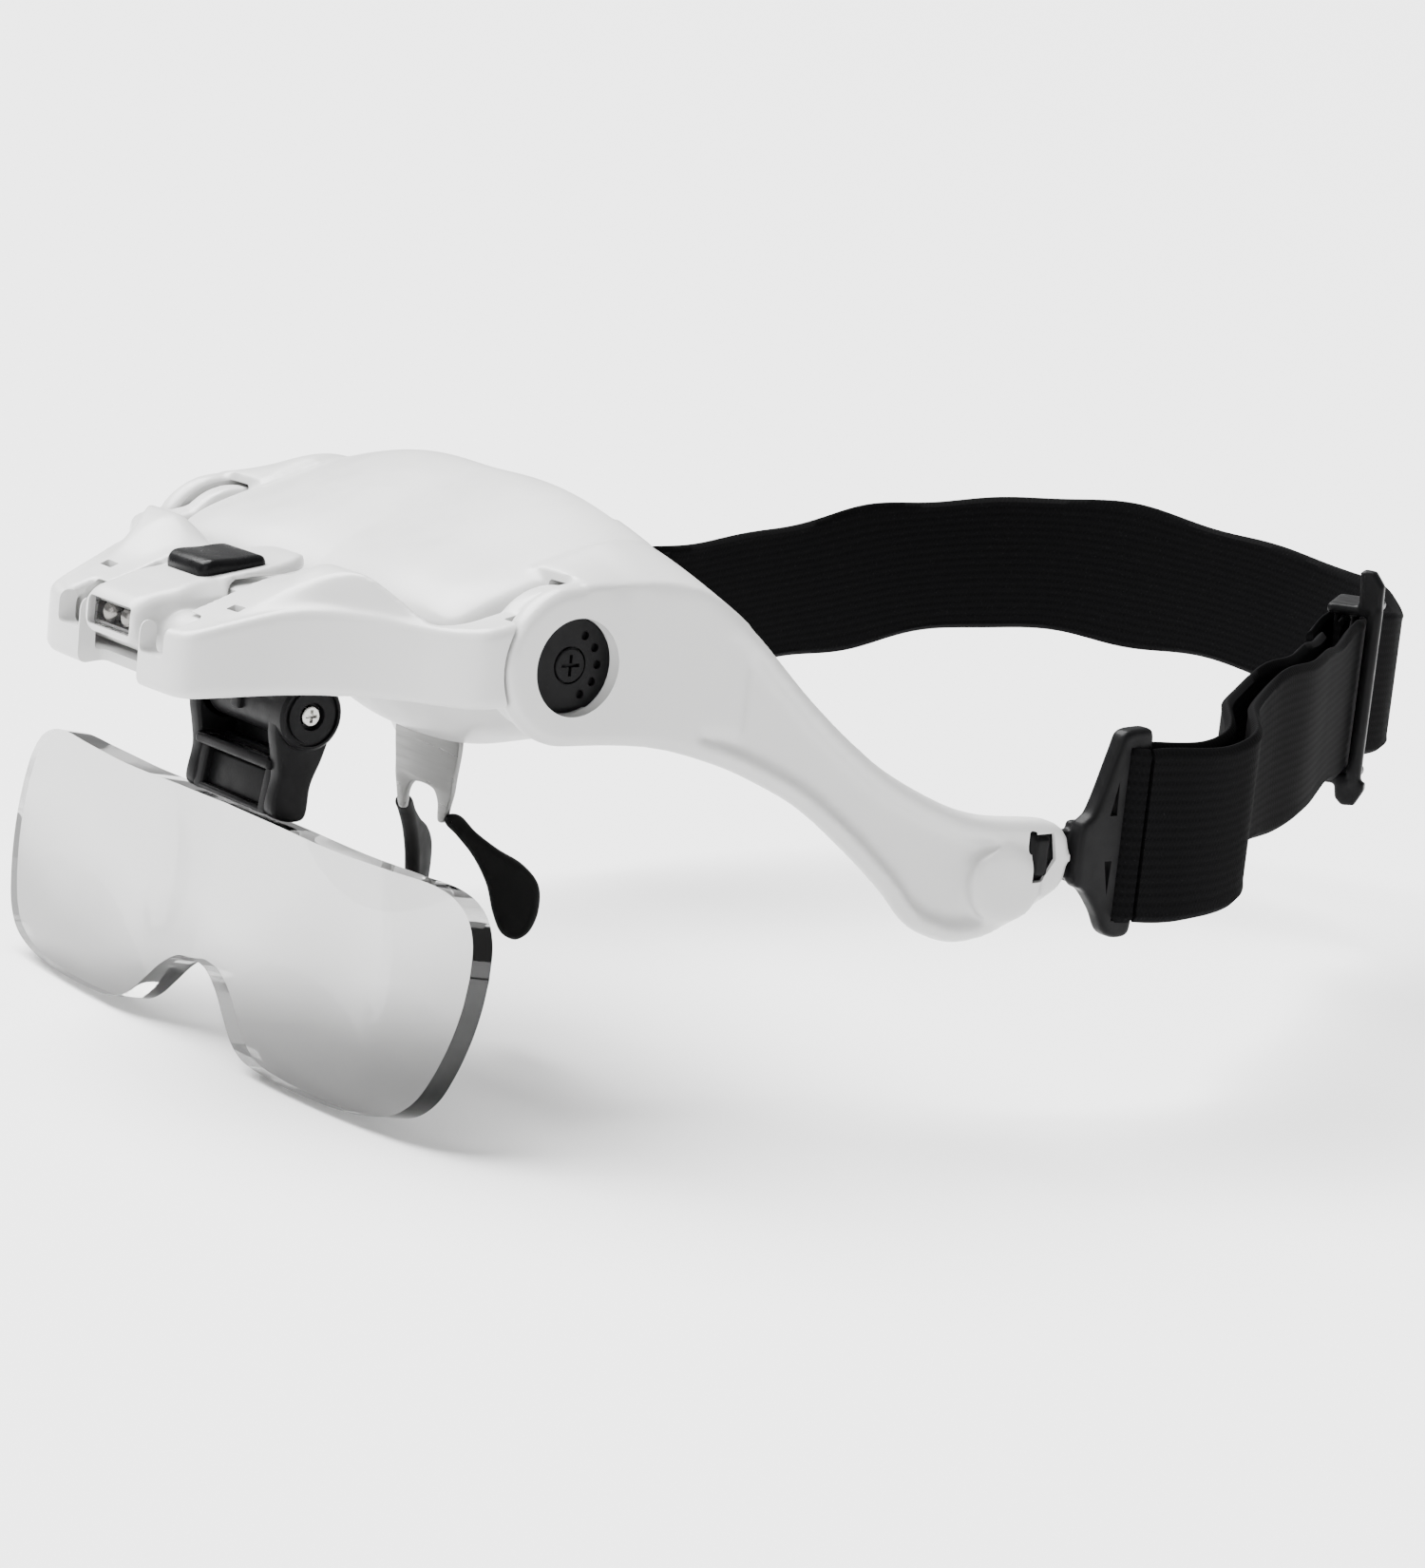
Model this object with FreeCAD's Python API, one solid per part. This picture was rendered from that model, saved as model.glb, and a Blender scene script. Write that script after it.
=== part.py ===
"""Head visor magnifier: white forehead body with a tilting front bracket, a
lamp unit, a hinged lens holder with a pull-out lens, and an elastic strap.

Millimetres. The wearer looks along -Y, +X is the wearer's left, +Z is up.
The origin is the bridge of the nose, midway between the two nose pads.
"""
import FreeCAD, Part
import math
import os

V = FreeCAD.Vector
os.makedirs("parts", exist_ok=True)

# ---------------------------------------------------------------- dimensions
PIVOT_Y, PIVOT_Z = -12.2, 37.0     # side pivots the bracket tilts on
KNUCKLE_R = 9.8                    # round front of each side plate
PLATE_IN, PLATE_OUT = 38.4, 42.0   # side plate, inner and outer face
TAB_IN, TAB_OUT = 34.4, 37.9       # bracket tab inside the side plate
TAB_R = 8.8
CORE_HALF = 33.9                   # half width of the middle of the body

CELL_R, CELL_LEN = 5.2, 44.0       # three size AAA cells
CELL_CENTRES = [(-4.0, 42.2), (-14.6, 35.0), (-4.0, 30.6)]
ROOM_HALF = 24.4                   # half length of the battery room
DOOR_HALF, DOOR_LOW, DOOR_TOP = 25.6, 24.2, 49.0
REAR_Y = 5.0                       # flat rear face against the forehead

HINGE_Y, HINGE_Z = -28.7, 25.3     # lens holder hinge
LENS_TILT = -9.1                   # bottom of the lens leans forward
LENS_FRONT, LENS_BACK = -1.9, 2.5  # faces of the lens in the holder's frame
LENS_TOP = -13.4

LAMP_Y, LAMP_Z, LAMP_R = -44.6, 34.6, 3.5   # lamp barrel axis and radius
DISC_R, DISC_FACE = 5.84, 40.2      # detent disc sunk in a side plate, and its face
DISC_SEAT = 39.25

STRAP_W, STRAP_T = 21.6, 1.3
LAYER = 1.75                       # half the spacing of the doubled layers


# ------------------------------------------------------------------- helpers
def save(name, shape):
    shape.exportStep("parts/%s.step" % name)


def box(x0, x1, y0, y1, z0, z1):
    return Part.makeBox(x1 - x0, y1 - y0, z1 - z0, V(x0, y0, z0))


def rod(r, x0, x1, y, z):
    """Cylinder along X."""
    return Part.makeCylinder(r, x1 - x0, V(x0, y, z), V(1, 0, 0))


def curve(points, closed=True):
    spline = Part.BSplineCurve()
    spline.interpolate(points, PeriodicFlag=closed)
    return spline.toShape()


def polygon(points):
    return Part.makePolygon(points + [points[0]])


def side_solid(points, x0, x1):
    """Outline given as (y, z), swept along X from x0 to x1."""
    wire = polygon([V(x0, y, z) for y, z in points])
    return Part.Face(wire).extrude(V(x1 - x0, 0, 0))


def plan_solid(points, z0, z1):
    """Outline given as (x, y), swept along Z from z0 to z1."""
    wire = polygon([V(x, y, z0) for x, y in points])
    return Part.Face(wire).extrude(V(0, 0, z1 - z0))


def front_solid(points, y0, y1):
    """Outline given as (x, z), swept along Y from y0 to y1."""
    wire = polygon([V(x, y0, z) for x, z in points])
    return Part.Face(wire).extrude(V(0, y1 - y0, 0))


def half_outline(points):
    """Whole symmetric outline from its +X half."""
    return points + [(-x, y) for x, y in reversed(points) if x > 0]


def mirrored(shape):
    return shape.mirror(V(0, 0, 0), V(1, 0, 0))


def both(shape):
    return shape.fuse(mirrored(shape))


def soften(shape, radius, keep):
    """Round the edges for which keep(bounding box) is true."""
    edges = [e for e in shape.Edges if keep(e.BoundBox)]
    return shape.makeFillet(radius, edges) if edges else shape


def arc_points(cy, cz, r, a0, a1, n):
    """Points (y, z) on a circle, angles in degrees from +Y toward +Z."""
    out = []
    for i in range(n + 1):
        a = math.radians(a0 + (a1 - a0) * i / n)
        out.append((cy + r * math.cos(a), cz + r * math.sin(a)))
    return out


def path_points(points, step):
    """Points at an even spacing along a smooth curve through (x, y, z)."""
    edge = curve([V(*p) for p in points], closed=False)
    count = max(2, int(edge.Length / step))
    return edge.discretize(count + 1)


def ribbon(points, width, thick):
    """Flat webbing standing on edge along a run of points."""
    wires = []
    last = len(points) - 1
    for i, p in enumerate(points):
        ahead = points[min(i + 1, last)] - points[max(i - 1, 0)]
        across = V(ahead.y, -ahead.x, 0).normalize() * (thick / 2.0)
        up = V(0, 0, width / 2.0)
        ring = [p + across + up, p - across + up, p - across - up, p + across - up]
        wires.append(polygon(ring))
    return Part.makeLoft(wires, True, True)


# ---------------------------------------------------------------- white body
ARM_TOP = [(PIVOT_Y, PIVOT_Z + KNUCKLE_R), (-6.0, 46.9), (0.0, 47.3), (3.6, 46.6),
           (6.8, 44.2), (9.8, 42.1), (13.4, 37.7), (17.0, 33.8), (21.7, 29.5), (26.5, 25.6),
           (33.7, 21.9), (38.5, 20.7), (45.8, 20.5)]
ARM_END = [(49.4, 19.2), (50.4, 15.6), (49.6, 11.8)]
ARM_LOW = [(47.1, 10.1), (44.6, 8.6), (42.5, 6.8), (40.2, 5.4), (36.8, 4.5), (34.4, 4.8),
           (31.3, 6.3), (28.1, 10.2), (23.1, 15.3), (17.2, 20.3), (11.6, 23.4), (7.2, 25.2),
           (0.7, 26.8), (-6.0, 27.1), (PIVOT_Y, PIVOT_Z - KNUCKLE_R)]
ARM_OUT = [(42.0, -26.0), (42.0, -6.0), (43.4, -1.0), (46.2, 5.0), (49.8, 13.0), (53.9, 22.0),
           (57.9, 31.0), (61.0, 39.0), (63.0, 45.0), (64.0, 51.0)]
ARM_IN = [(60.2, 51.0), (59.2, 44.5), (57.2, 38.5), (54.6, 32.0), (50.6, 23.4), (46.4, 14.0),
          (42.2, 6.4), (38.4, 2.6), (38.4, -26.0)]


def arm():
    """Side plate with its round front, running back into the arm."""
    front = arc_points(PIVOT_Y, PIVOT_Z, KNUCKLE_R, 270, 90, 18)
    outline = front[1:-1] + ARM_TOP + ARM_END + ARM_LOW
    side = side_solid(outline, 38.0, 72.0)
    band = plan_solid(ARM_OUT + ARM_IN, 0.0, 60.0)
    return side.common(band)


def core():
    """Middle of the body: side view, front view and plan in one another."""
    side = side_solid(
        [(-24.0, 35.4), (-24.4, 38.0), (-23.4, 40.8), (-20.4, 43.6), (-12.0, 48.2),
         (-4.0, 52.2), (1.6, 54.2), (4.2, 54.0), (REAR_Y, 52.4), (REAR_Y, 23.0),
         (3.4, 20.6), (0.0, 19.6), (-4.0, 19.8), (-8.0, 21.2), (-12.0, 24.2),
         (-16.0, 27.4), (-20.4, 30.2), (-23.2, 33.0)],
        -CORE_HALF, CORE_HALF)
    half = [(0, 54.2), (10, 54.3), (18, 53.6), (26, 52.0), (CORE_HALF, 49.8), (CORE_HALF, 28.4)]
    low = [(28, 27.0), (21, 24.6), (15, 21.6), (10, 19.6)]
    front = front_solid(half_outline(half + low), -30.0, 6.0)
    plan = [(0, -24.4), (24.0, -24.4), (30.6, -24.0), (33.0, -22.4), (CORE_HALF, -20.0),
            (CORE_HALF, 8.0)]
    return side.common(front).common(plan_solid(half_outline(plan), 10.0, 60.0))


def shoulder():
    """Joins the middle to a side plate behind the pivot."""
    outline = [(-3.2, 28.6), (-3.2, 46.4), (0.0, 47.3), (3.6, 46.8), (7.5, 43.8), (9.3, 40.0),
               (9.3, 29.4), (6.0, 27.2)]
    plan = [(32.0, -3.2), (42.6, -3.2), (44.6, 1.5), (46.6, 5.8), (44.0, 8.6), (38.4, 6.8),
            (32.0, REAR_Y)]
    return side_solid(outline, 30.0, 50.0).common(plan_solid(plan, 20.0, 56.0))


def battery_room():
    room = rod(CELL_R + 0.5, -ROOM_HALF, ROOM_HALF, *CELL_CENTRES[0])
    for y, z in CELL_CENTRES[1:]:
        room = room.fuse(rod(CELL_R + 0.5, -ROOM_HALF, ROOM_HALF, y, z))
    joiner = side_solid([(-4.0, 24.9), (-14.6, 29.3), (-19.2, 34.8), (-13.0, 40.5),
                         (-4.0, 47.9)], -ROOM_HALF, ROOM_HALF)
    mouth = box(-ROOM_HALF, ROOM_HALF, -4.2, REAR_Y + 1.0, 25.4, 47.8)
    return room.fuse(joiner).fuse(mouth)


def visor_body():
    body = core().fuse(both(arm())).fuse(both(shoulder()))
    button = Part.makeCylinder(4.7, 1.2, V(60.4, 40.8, 12.4), V(0.94, -0.34, 0))
    body = body.fuse(both(button))
    body = body.cut(both(rod(TAB_R + 0.6, CORE_HALF, PLATE_IN, PIVOT_Y, PIVOT_Z)))
    body = body.cut(battery_room())
    door_seat = box(-DOOR_HALF - 0.35, DOOR_HALF + 0.35, REAR_Y - 2.0, REAR_Y + 1.0,
                    DOOR_LOW - 0.35, 60.0)
    body = body.cut(door_seat)
    body = body.cut(both(rod(DISC_R + 0.06, DISC_SEAT, PLATE_OUT + 1.0, PIVOT_Y, PIVOT_Z)))
    body = body.cut(both(rod(2.05, CORE_HALF - 6.0, PLATE_OUT, PIVOT_Y, PIVOT_Z)))
    socket = box(61.0, 63.0, 41.4, 52.0, 12.6, 19.2)
    window = box(62.9, 66.0, 44.4, 47.2, 13.2, 18.6)
    body = body.cut(both(socket)).cut(both(window))
    body = body.cut(box(-6.75, 6.75, -3.7, -2.7, 15.0, 22.8))
    body = body.cut(Part.makeCylinder(0.9, 10.0, V(0, -4.5, 22.0), V(0, 1, 0)))
    return body.removeSplitter()


def battery_door():
    """Plate in the rear face; lifts upward out of its seat."""
    plate = box(-DOOR_HALF, DOOR_HALF, REAR_Y - 1.65, REAR_Y, DOOR_LOW, DOOR_TOP)
    plate = soften(plate, 2.0, lambda b: b.YLength > 1.5 and b.XLength < 0.1 and b.ZLength < 0.1)
    grip = box(-7.0, 7.0, REAR_Y - 0.5, REAR_Y + 0.5, 43.6, 44.4)
    ribs = grip
    for i in (1, 2, 3):
        ribs = ribs.fuse(grip.translated(V(0, 0, 1.5 * i)))
    return plate.cut(ribs)


def cell(index):
    y, z = CELL_CENTRES[index]
    half = CELL_LEN / 2.0
    sign = 1 if index % 2 == 0 else -1
    can = rod(CELL_R, -half, half - 1.2, y, z)
    can = soften(can, 0.5, lambda b: True)
    nub = rod(1.9, half - 1.3, half, y, z)
    whole = can.fuse(nub)
    return whole if sign > 0 else mirrored(whole)


def contact_plate(sign):
    """Thin spring plate at one end of the three cells."""
    plate = side_solid([(-0.6, 45.8), (-5.8, 45.6), (-13.0, 38.2), (-17.8, 36.2),
                        (-17.2, 32.4), (-13.0, 30.6), (-5.0, 26.4), (-0.6, 26.4)], 23.2, 23.7)
    spots = plate
    for y, z in CELL_CENTRES:
        spots = spots.fuse(rod(1.6, 22.3, 23.4, y, z))
    return spots if sign > 0 else mirrored(spots)


# ----------------------------------------------------------- nose rest parts
def nose_bracket():
    """Steel plate with two bent legs that carry the pads."""
    plate = [(-6.6, 21.8), (6.6, 21.8), (6.6, 14.0), (5.8, 11.6), (4.9, 10.2), (3.6, 10.2),
             (3.4, 12.0), (2.0, 13.4), (-2.0, 13.4), (-3.4, 12.0), (-3.6, 10.2),
             (-4.9, 10.2), (-5.8, 11.6), (-6.6, 14.0)]
    tongue = [(-5.0, 21.6), (5.0, 21.6), (5.0, 22.5), (-5.0, 22.5)]
    return front_solid(plate, -3.55, -2.85).fuse(front_solid(tongue, -3.55, -2.85))


def nose_pad(sign):
    """Soft drop-shaped pad, splayed to lie on one side of the nose."""
    outline = [(-0.2, 10.6), (1.4, 10.5), (3.4, 8.7), (6.6, 6.6), (9.8, 5.0), (12.0, 2.6),
               (12.4, -0.6), (11.5, -3.6), (9.8, -5.0), (7.8, -4.3), (6.5, -1.8), (5.4, 2.0),
               (3.4, 5.4), (0.9, 8.2), (-0.6, 9.6)]
    pts = [V(0, u, z) for u, z in outline]
    pad = Part.Face(Part.Wire([curve(pts)])).extrude(V(2.0, 0, 0))
    pad.rotate(V(0, 0, 0), V(0, 0, 1), -38)
    pad.translate(V(4.6, -2.0, 0))
    pad = pad.cut(box(2.6, 7.4, -4.0, -2.5, 9.6, 14.0))
    return pad if sign > 0 else mirrored(pad)


# ------------------------------------------------------------- pivot details
def pivot_disc(sign):
    """Black detent disc sunk in the side plate."""
    disc = rod(DISC_R, DISC_SEAT + 0.05, DISC_FACE, PIVOT_Y, PIVOT_Z)
    flat = box(DISC_FACE - 0.5, DISC_FACE + 1, -20, -6, 29, PIVOT_Z - 5.1)
    disc = disc.cut(flat).cut(rod(2.3, DISC_FACE - 0.5, DISC_FACE + 1, PIVOT_Y, PIVOT_Z))
    disc = disc.cut(rod(1.3, DISC_SEAT - 1, DISC_FACE, PIVOT_Y, PIVOT_Z))
    for i in range(5):
        a = math.radians(-62 + 31 * i)
        y, z = PIVOT_Y + 4.0 * math.cos(a), PIVOT_Z + 4.0 * math.sin(a)
        disc = disc.cut(rod(0.55, DISC_FACE - 0.6, DISC_FACE + 1, y, z))
    return disc if sign > 0 else mirrored(disc)


def pivot_sleeve(sign):
    """Steel sleeve the bracket tab turns on."""
    sleeve = rod(2.0, CORE_HALF - 5.9, DISC_SEAT - 0.05, PIVOT_Y, PIVOT_Z)
    sleeve = sleeve.cut(rod(1.25, 0.0, 60.0, PIVOT_Y, PIVOT_Z))
    return sleeve if sign > 0 else mirrored(sleeve)


def cross_screw(head_r, head_x, head_t, shank_r, shank_x, y, z):
    """Pan screw along X, head outward, with a cross recess."""
    head = rod(head_r, head_x - head_t, head_x, y, z)
    head = soften(head, head_t * 0.35, lambda b: b.XMin > head_x - 0.01)
    reach = head_r * 0.62
    bar_a = box(head_x - 0.55, head_x + 1, y - reach, y + reach, z - 0.22, z + 0.22)
    bar_b = box(head_x - 0.55, head_x + 1, y - 0.22, y + 0.22, z - reach, z + reach)
    shank = rod(shank_r, shank_x, head_x - head_t + 0.05, y, z)
    return head.cut(bar_a).cut(bar_b).fuse(shank)


def pivot_screw(sign):
    screw = cross_screw(2.1, DISC_FACE + 0.15, 0.6, 1.15, 28.6, PIVOT_Y, PIVOT_Z)
    return screw if sign > 0 else mirrored(screw)


# ------------------------------------------------------------- front bracket
BRACKET_OUT = [(0, -51.2), (14.6, -51.0), (16.6, -50.4), (17.8, -48.6), (19.2, -45.0),
               (21.2, -40.6), (24.2, -36.4), (28.0, -32.6), (33.0, -29.0), (38.2, -26.6),
               (41.4, -25.4), (41.4, -14.0)]
BRACKET_IN = [(0, -48.9), (14.2, -48.8), (15.8, -47.4), (17.2, -44.0), (19.3, -39.4),
              (22.6, -34.9), (26.6, -31.0), (31.2, -27.6), (TAB_IN, -26.2)]


# Side view of the bracket, as (y, z).
BRACKET_SIDE = [(-52.0, 28.6), (-52.0, 36.4), (-49.0, 37.2), (-44.0, 38.8), (-37.4, 40.9),
                (-33.0, 41.0), (-28.0, 41.3), (-24.0, 41.9), (-12.0, 43.2), (-12.0, 33.0),
                (-20.0, 32.4), (-32.0, 31.1), (-40.0, 30.1)]
DECK_T = 1.6                       # thickness of the bracket's top skin


def bracket_walls():
    tab_edge = [(TAB_IN, -14.0)]
    outer = plan_solid(half_outline(BRACKET_OUT), 20.0, 60.0)
    inner = plan_solid(half_outline(BRACKET_IN + tab_edge), 20.0, 60.0)
    band = outer.cut(inner).common(side_solid(BRACKET_SIDE, -50.0, 50.0))
    ring = rod(KNUCKLE_R + 0.45, TAB_OUT, 50.0, PIVOT_Y, PIVOT_Z)
    return band.cut(both(ring)).cut(both(box(TAB_OUT, 50.0, -16.0, 0.0, 20.0, 60.0)))


def bracket_deck():
    """Top skin between the walls, open over the lamp barrel."""
    skin = side_solid(BRACKET_SIDE, -50.0, 50.0).cut(
        side_solid([(y, z - DECK_T) for y, z in BRACKET_SIDE], -51.0, 51.0))
    area = plan_solid(half_outline(BRACKET_OUT[:-2]), 20.0, 60.0).cut(box(-50, 50, -29.6, 0, 20, 60))
    deck = skin.common(area)
    deck = deck.cut(box(-50, 50, -60, 0, 20, 34.0))
    deck = deck.cut(box(-12.3, 12.3, -60.0, -37.8, 30.0, 60.0))
    return deck.cut(box(-3.0, 3.0, -39.0, -32.0, 30.0, 60.0))


def tilt_bracket():
    body = bracket_walls().fuse(bracket_deck())
    tab = rod(TAB_R, TAB_IN, TAB_OUT, PIVOT_Y, PIVOT_Z)
    body = body.fuse(both(tab))
    floor = box(-17.0, 17.0, -50.6, -33.0, 28.9, 30.0)
    floor = floor.common(plan_solid(half_outline(BRACKET_OUT[:-4]), 20, 60))
    floor = floor.fuse(box(-9.0, 9.0, -34.0, -26.2, 28.9, 30.0))
    floor.rotate(V(0, -50.7, 28.9), V(1, 0, 0), 6.2)
    body = body.fuse(floor)
    body = body.cut(both(rod(2.05, 30.0, 50.0, PIVOT_Y, PIVOT_Z)))
    body = body.cut(box(-6.4, 6.4, -53.0, -48.0, 30.2, 45.0))
    body = body.cut(both(box(7.4, 12.3, -53.0, -47.0, 33.4, 45.0)))
    cheeks = both(box(12.6, 15.0, -47.4, -41.8, 29.4, 36.6))
    pins = both(rod(1.5, 11.2, 13.0, LAMP_Y, LAMP_Z))
    return body.fuse(cheeks).fuse(pins).removeSplitter()


def hinge_block():
    """Black knuckle under the bracket floor that the lens holder turns on."""
    lug = rod(3.5, -7.6, 7.6, HINGE_Y, HINGE_Z)
    web = box(-7.6, 7.6, HINGE_Y - 3.2, HINGE_Y + 2.4, HINGE_Z, 32.2)
    block = lug.fuse(web).cut(rod(1.55, -20.0, 20.0, HINGE_Y, HINGE_Z))
    return block.cut(tilt_bracket()).Solids[0]


# ------------------------------------------------------------------ lamp unit
LAMP_SIDE = [(-51.2, 33.6), (-51.0, 38.0), (-49.6, 39.2), (-46.0, 40.2), (-43.4, 41.0),
             (-30.8, 42.9), (-27.0, 43.6), (-25.6, 43.2), (-25.4, 42.4), (-29.6, 42.1),
             (-38.2, 41.4), (-38.8, 37.0), (-40.4, 35.2), (-41.6, 33.4), (-44.6, 32.9)]


def lamp_plan():
    half = [(0, -51.4), (6.1, -51.4), (6.1, -47.6), (7.4, -45.0), (8.6, -40.0), (8.2, -34.0),
            (6.4, -29.0), (4.2, -26.0), (0, -25.2)]
    return plan_solid(half_outline(half), 20.0, 60.0)


def lamp_housing():
    """Nose with the light window, barrel it turns on, and switch cover."""
    shape = side_solid(LAMP_SIDE, -12.0, 12.0).common(lamp_plan())
    barrel = rod(LAMP_R, -12.0, 12.0, LAMP_Y, LAMP_Z)
    shape = shape.fuse(barrel)
    shape = shape.cut(both(rod(1.56, 11.0, 14.0, LAMP_Y, LAMP_Z)))
    shape = shape.cut(box(-4.9, 4.9, -52.0, -47.0, 34.4, 37.9))
    shape = shape.cut(box(-2.1, 2.1, -42.6, -33.0, 38.0, 44.5))
    return shape.removeSplitter()


def lamp_reflector():
    tray = box(-4.8, 4.8, -50.4, -47.1, 34.5, 37.8)
    tray = tray.cut(box(-4.3, 4.3, -51.0, -47.9, 34.9, 37.4))
    hole = Part.makeCylinder(1.56, 4.0, V(2.1, -50.0, 36.15), V(0, 1, 0))
    return tray.cut(both(hole))


def led(sign):
    bulb = Part.makeCylinder(1.5, 2.0, V(2.1 * sign, -49.2, 36.15), V(0, 1, 0))
    tip = Part.makeSphere(1.5, V(2.1 * sign, -49.2, 36.15))
    return bulb.fuse(tip)


def lamp_window():
    return box(-4.78, 4.78, -51.15, -50.85, 34.52, 37.78)


def switch_cap():
    """Black finger slide on the lamp cover."""
    cap = side_solid([(-41.6, 41.65), (-41.4, 42.6), (-40.2, 43.5), (-36.6, 44.4),
                      (-33.4, 44.6), (-32.0, 44.2), (-31.4, 43.3)], -4.9, 4.9)
    cap = cap.cut(box(-10, 10, -45, -30, 40, 41.6))
    stem = box(-1.6, 1.6, -37.6, -35.2, 39.4, 42.6)
    return cap.fuse(stem)


# ---------------------------------------------------------------- lens holder
def tilted(shape):
    shape.rotate(V(0, HINGE_Y, HINGE_Z), V(1, 0, 0), LENS_TILT)
    return shape


def hbox(x0, x1, y0, y1, z0, z1):
    """Box given from the hinge axis, before the holder's lean is applied."""
    return box(x0, x1, HINGE_Y + y0, HINGE_Y + y1, HINGE_Z + z0, HINGE_Z + z1)


def lens_holder():
    cheek_side = [(HINGE_Y + y, HINGE_Z + z) for y, z in (
        (-3.8, 1.6), (-3.9, -3.2), (-2.8, -5.4), (-2.0, -7.4), (-1.6, -13.1), (2.7, -13.1),
        (2.7, -8.0), (3.6, -5.0), (3.9, -2.0), (3.2, 0.0))]
    cheek = side_solid(cheek_side, 8.0, 10.4)
    cheek = cheek.fuse(rod(4.4, 8.0, 11.4, HINGE_Y, HINGE_Z))
    plate = hbox(-8.6, 8.6, -1.2, 2.7, -13.1, -6.0)
    rib = hbox(-8.6, 8.6, -2.9, -1.0, -7.4, -6.0)
    holder = both(cheek).fuse(plate).fuse(rib)
    holder = holder.cut(hbox(-7.0, 7.0, -0.35, 1.85, -14.0, -6.9))
    holder = holder.cut(hbox(-6.6, 6.6, -3.0, -0.85, -12.2, -8.2))
    holder = holder.cut(both(rod(1.6, 10.4, 12.0, HINGE_Y, HINGE_Z)))
    holder = holder.cut(rod(1.0, -14.0, 14.0, HINGE_Y, HINGE_Z))
    groove = rod(3.7, 11.1, 12.0, HINGE_Y, HINGE_Z).cut(rod(3.3, 11.0, 12.1, HINGE_Y, HINGE_Z))
    return tilted(holder.cut(both(groove)).removeSplitter())


def holder_screw(sign):
    screw = cross_screw(1.3, 11.2, 0.7, 0.9, 8.0, HINGE_Y, HINGE_Z)
    return screw if sign > 0 else mirrored(screw)


def holder_pin():
    return rod(1.5, -7.7, 7.7, HINGE_Y, HINGE_Z)


LENS_HALF = [(0, 0.0), (3.4, 0.5), (6.6, 2.4), (9.4, 5.0), (12.4, 7.6), (15.6, 9.0),
             (21.0, 9.5), (28.0, 9.6), (34.0, 9.4), (40.0, 8.7), (45.0, 7.2), (48.2, 4.6),
             (50.2, 1.0), (51.7, -3.4), (52.4, -7.4), (52.5, -11.2), (51.8, -15.0),
             (50.0, -17.8), (47.0, -19.4), (43.0, -20.0), (36.0, -19.8), (24.0, -19.5),
             (12.0, -19.7)]


def lens():
    """Twin magnifier lens with a tab that pushes up into the holder."""
    apex = LENS_TOP - 20.0
    half = [(u, HINGE_Z + apex - w) for u, w in LENS_HALF]
    full = half + [(-u, z) for u, z in reversed(half) if u > 0]
    body = front_solid(full, HINGE_Y + LENS_FRONT, HINGE_Y + LENS_BACK)
    tab = hbox(-6.8, 6.8, -0.25, 1.75, -15.0, -7.1)
    return tilted(body.fuse(tab).removeSplitter())


# --------------------------------------------------------------- strap pieces
BAR_Y = 59.6                       # bar the webbing turns round
BAR_X = 63.6
CLIP_LOW, CLIP_TOP = 5.4, 31.6
STRAP_Z = 18.4


def strap_clip(sign):
    """Black end piece: tongue, collar and three-sided strap loop."""
    frame = side_solid([(50.7, 12.6), (50.7, 19.6), (52.0, 20.8), (55.4, 29.4),
                        (56.6, CLIP_TOP), (60.7, CLIP_TOP), (60.7, CLIP_LOW),
                        (57.4, CLIP_LOW), (55.6, 7.4), (52.6, 11.2)], 62.3, 64.9)
    slot = side_solid([(54.2, 17.6), (56.9, 29.9), (58.8, 29.9), (58.8, 6.9), (56.6, 7.4)],
                      60.0, 67.0)
    frame = frame.cut(slot)
    frame = frame.cut(box(60.0, BAR_X - 0.9, 58.0, 62.0, 7.0, 29.9))
    frame = frame.cut(box(BAR_X + 0.9, 67.0, 58.0, 62.0, 7.0, 29.9))
    tongue = box(61.15, 62.85, 41.8, 51.2, 12.9, 18.9)
    root = box(61.15, 63.4, 50.7, 52.4, 12.9, 18.9)
    clip = frame.fuse([tongue, root]).removeSplitter()
    return clip if sign > 0 else mirrored(clip)


SLIDER_AT = V(14.6, 148.4, 24.0)
RUN = V(-0.575, 0.818, 0).normalize()
RUN_OUT = V(RUN.y, -RUN.x, 0).normalize()
NEAR_RUN = [(64.2, 68.0, 18.2), (61.8, 78.6, 18.8), (57.4, 88.4, 21.4),
            (51.2, 98.6, 23.0), (43.6, 110.6, 23.6)]
FAR_RUN = [(9.2, 163.4, 23.6), (2.0, 171.6, 23.2), (-6.6, 176.6, 23.8), (-18.0, 177.6, 25.4),
           (-32.0, 173.4, 27.6), (-45.0, 166.6, 28.8), (-56.0, 158.0, 29.4),
           (-64.0, 147.4, 28.6), (-69.0, 134.0, 26.8), (-71.0, 118.0, 24.0),
           (-70.8, 100.0, 21.6), (-69.0, 84.0, 19.6), (-66.8, 72.0, 18.6)]


def slider_point(ahead, out, z):
    return SLIDER_AT + RUN * ahead + RUN_OUT * out + V(0, 0, z)


def straight(a0, a1, out):
    """Evenly spaced points along the straight run through the slider."""
    return [tuple(slider_point(a0 + (a1 - a0) * i / 5.0, out, 0)) for i in range(6)]


def shifted(points, out):
    """The near run moved sideways by out, square to its direction."""
    moved = []
    for i, (x, y, z) in enumerate(points):
        x0, y0 = points[max(i - 1, 0)][:2]
        x1, y1 = points[min(i + 1, len(points) - 1)][:2]
        side = V(y1 - y0, x0 - x1, 0).normalize() * out
        moved.append((x + side.x, y + side.y, z))
    return moved


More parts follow.
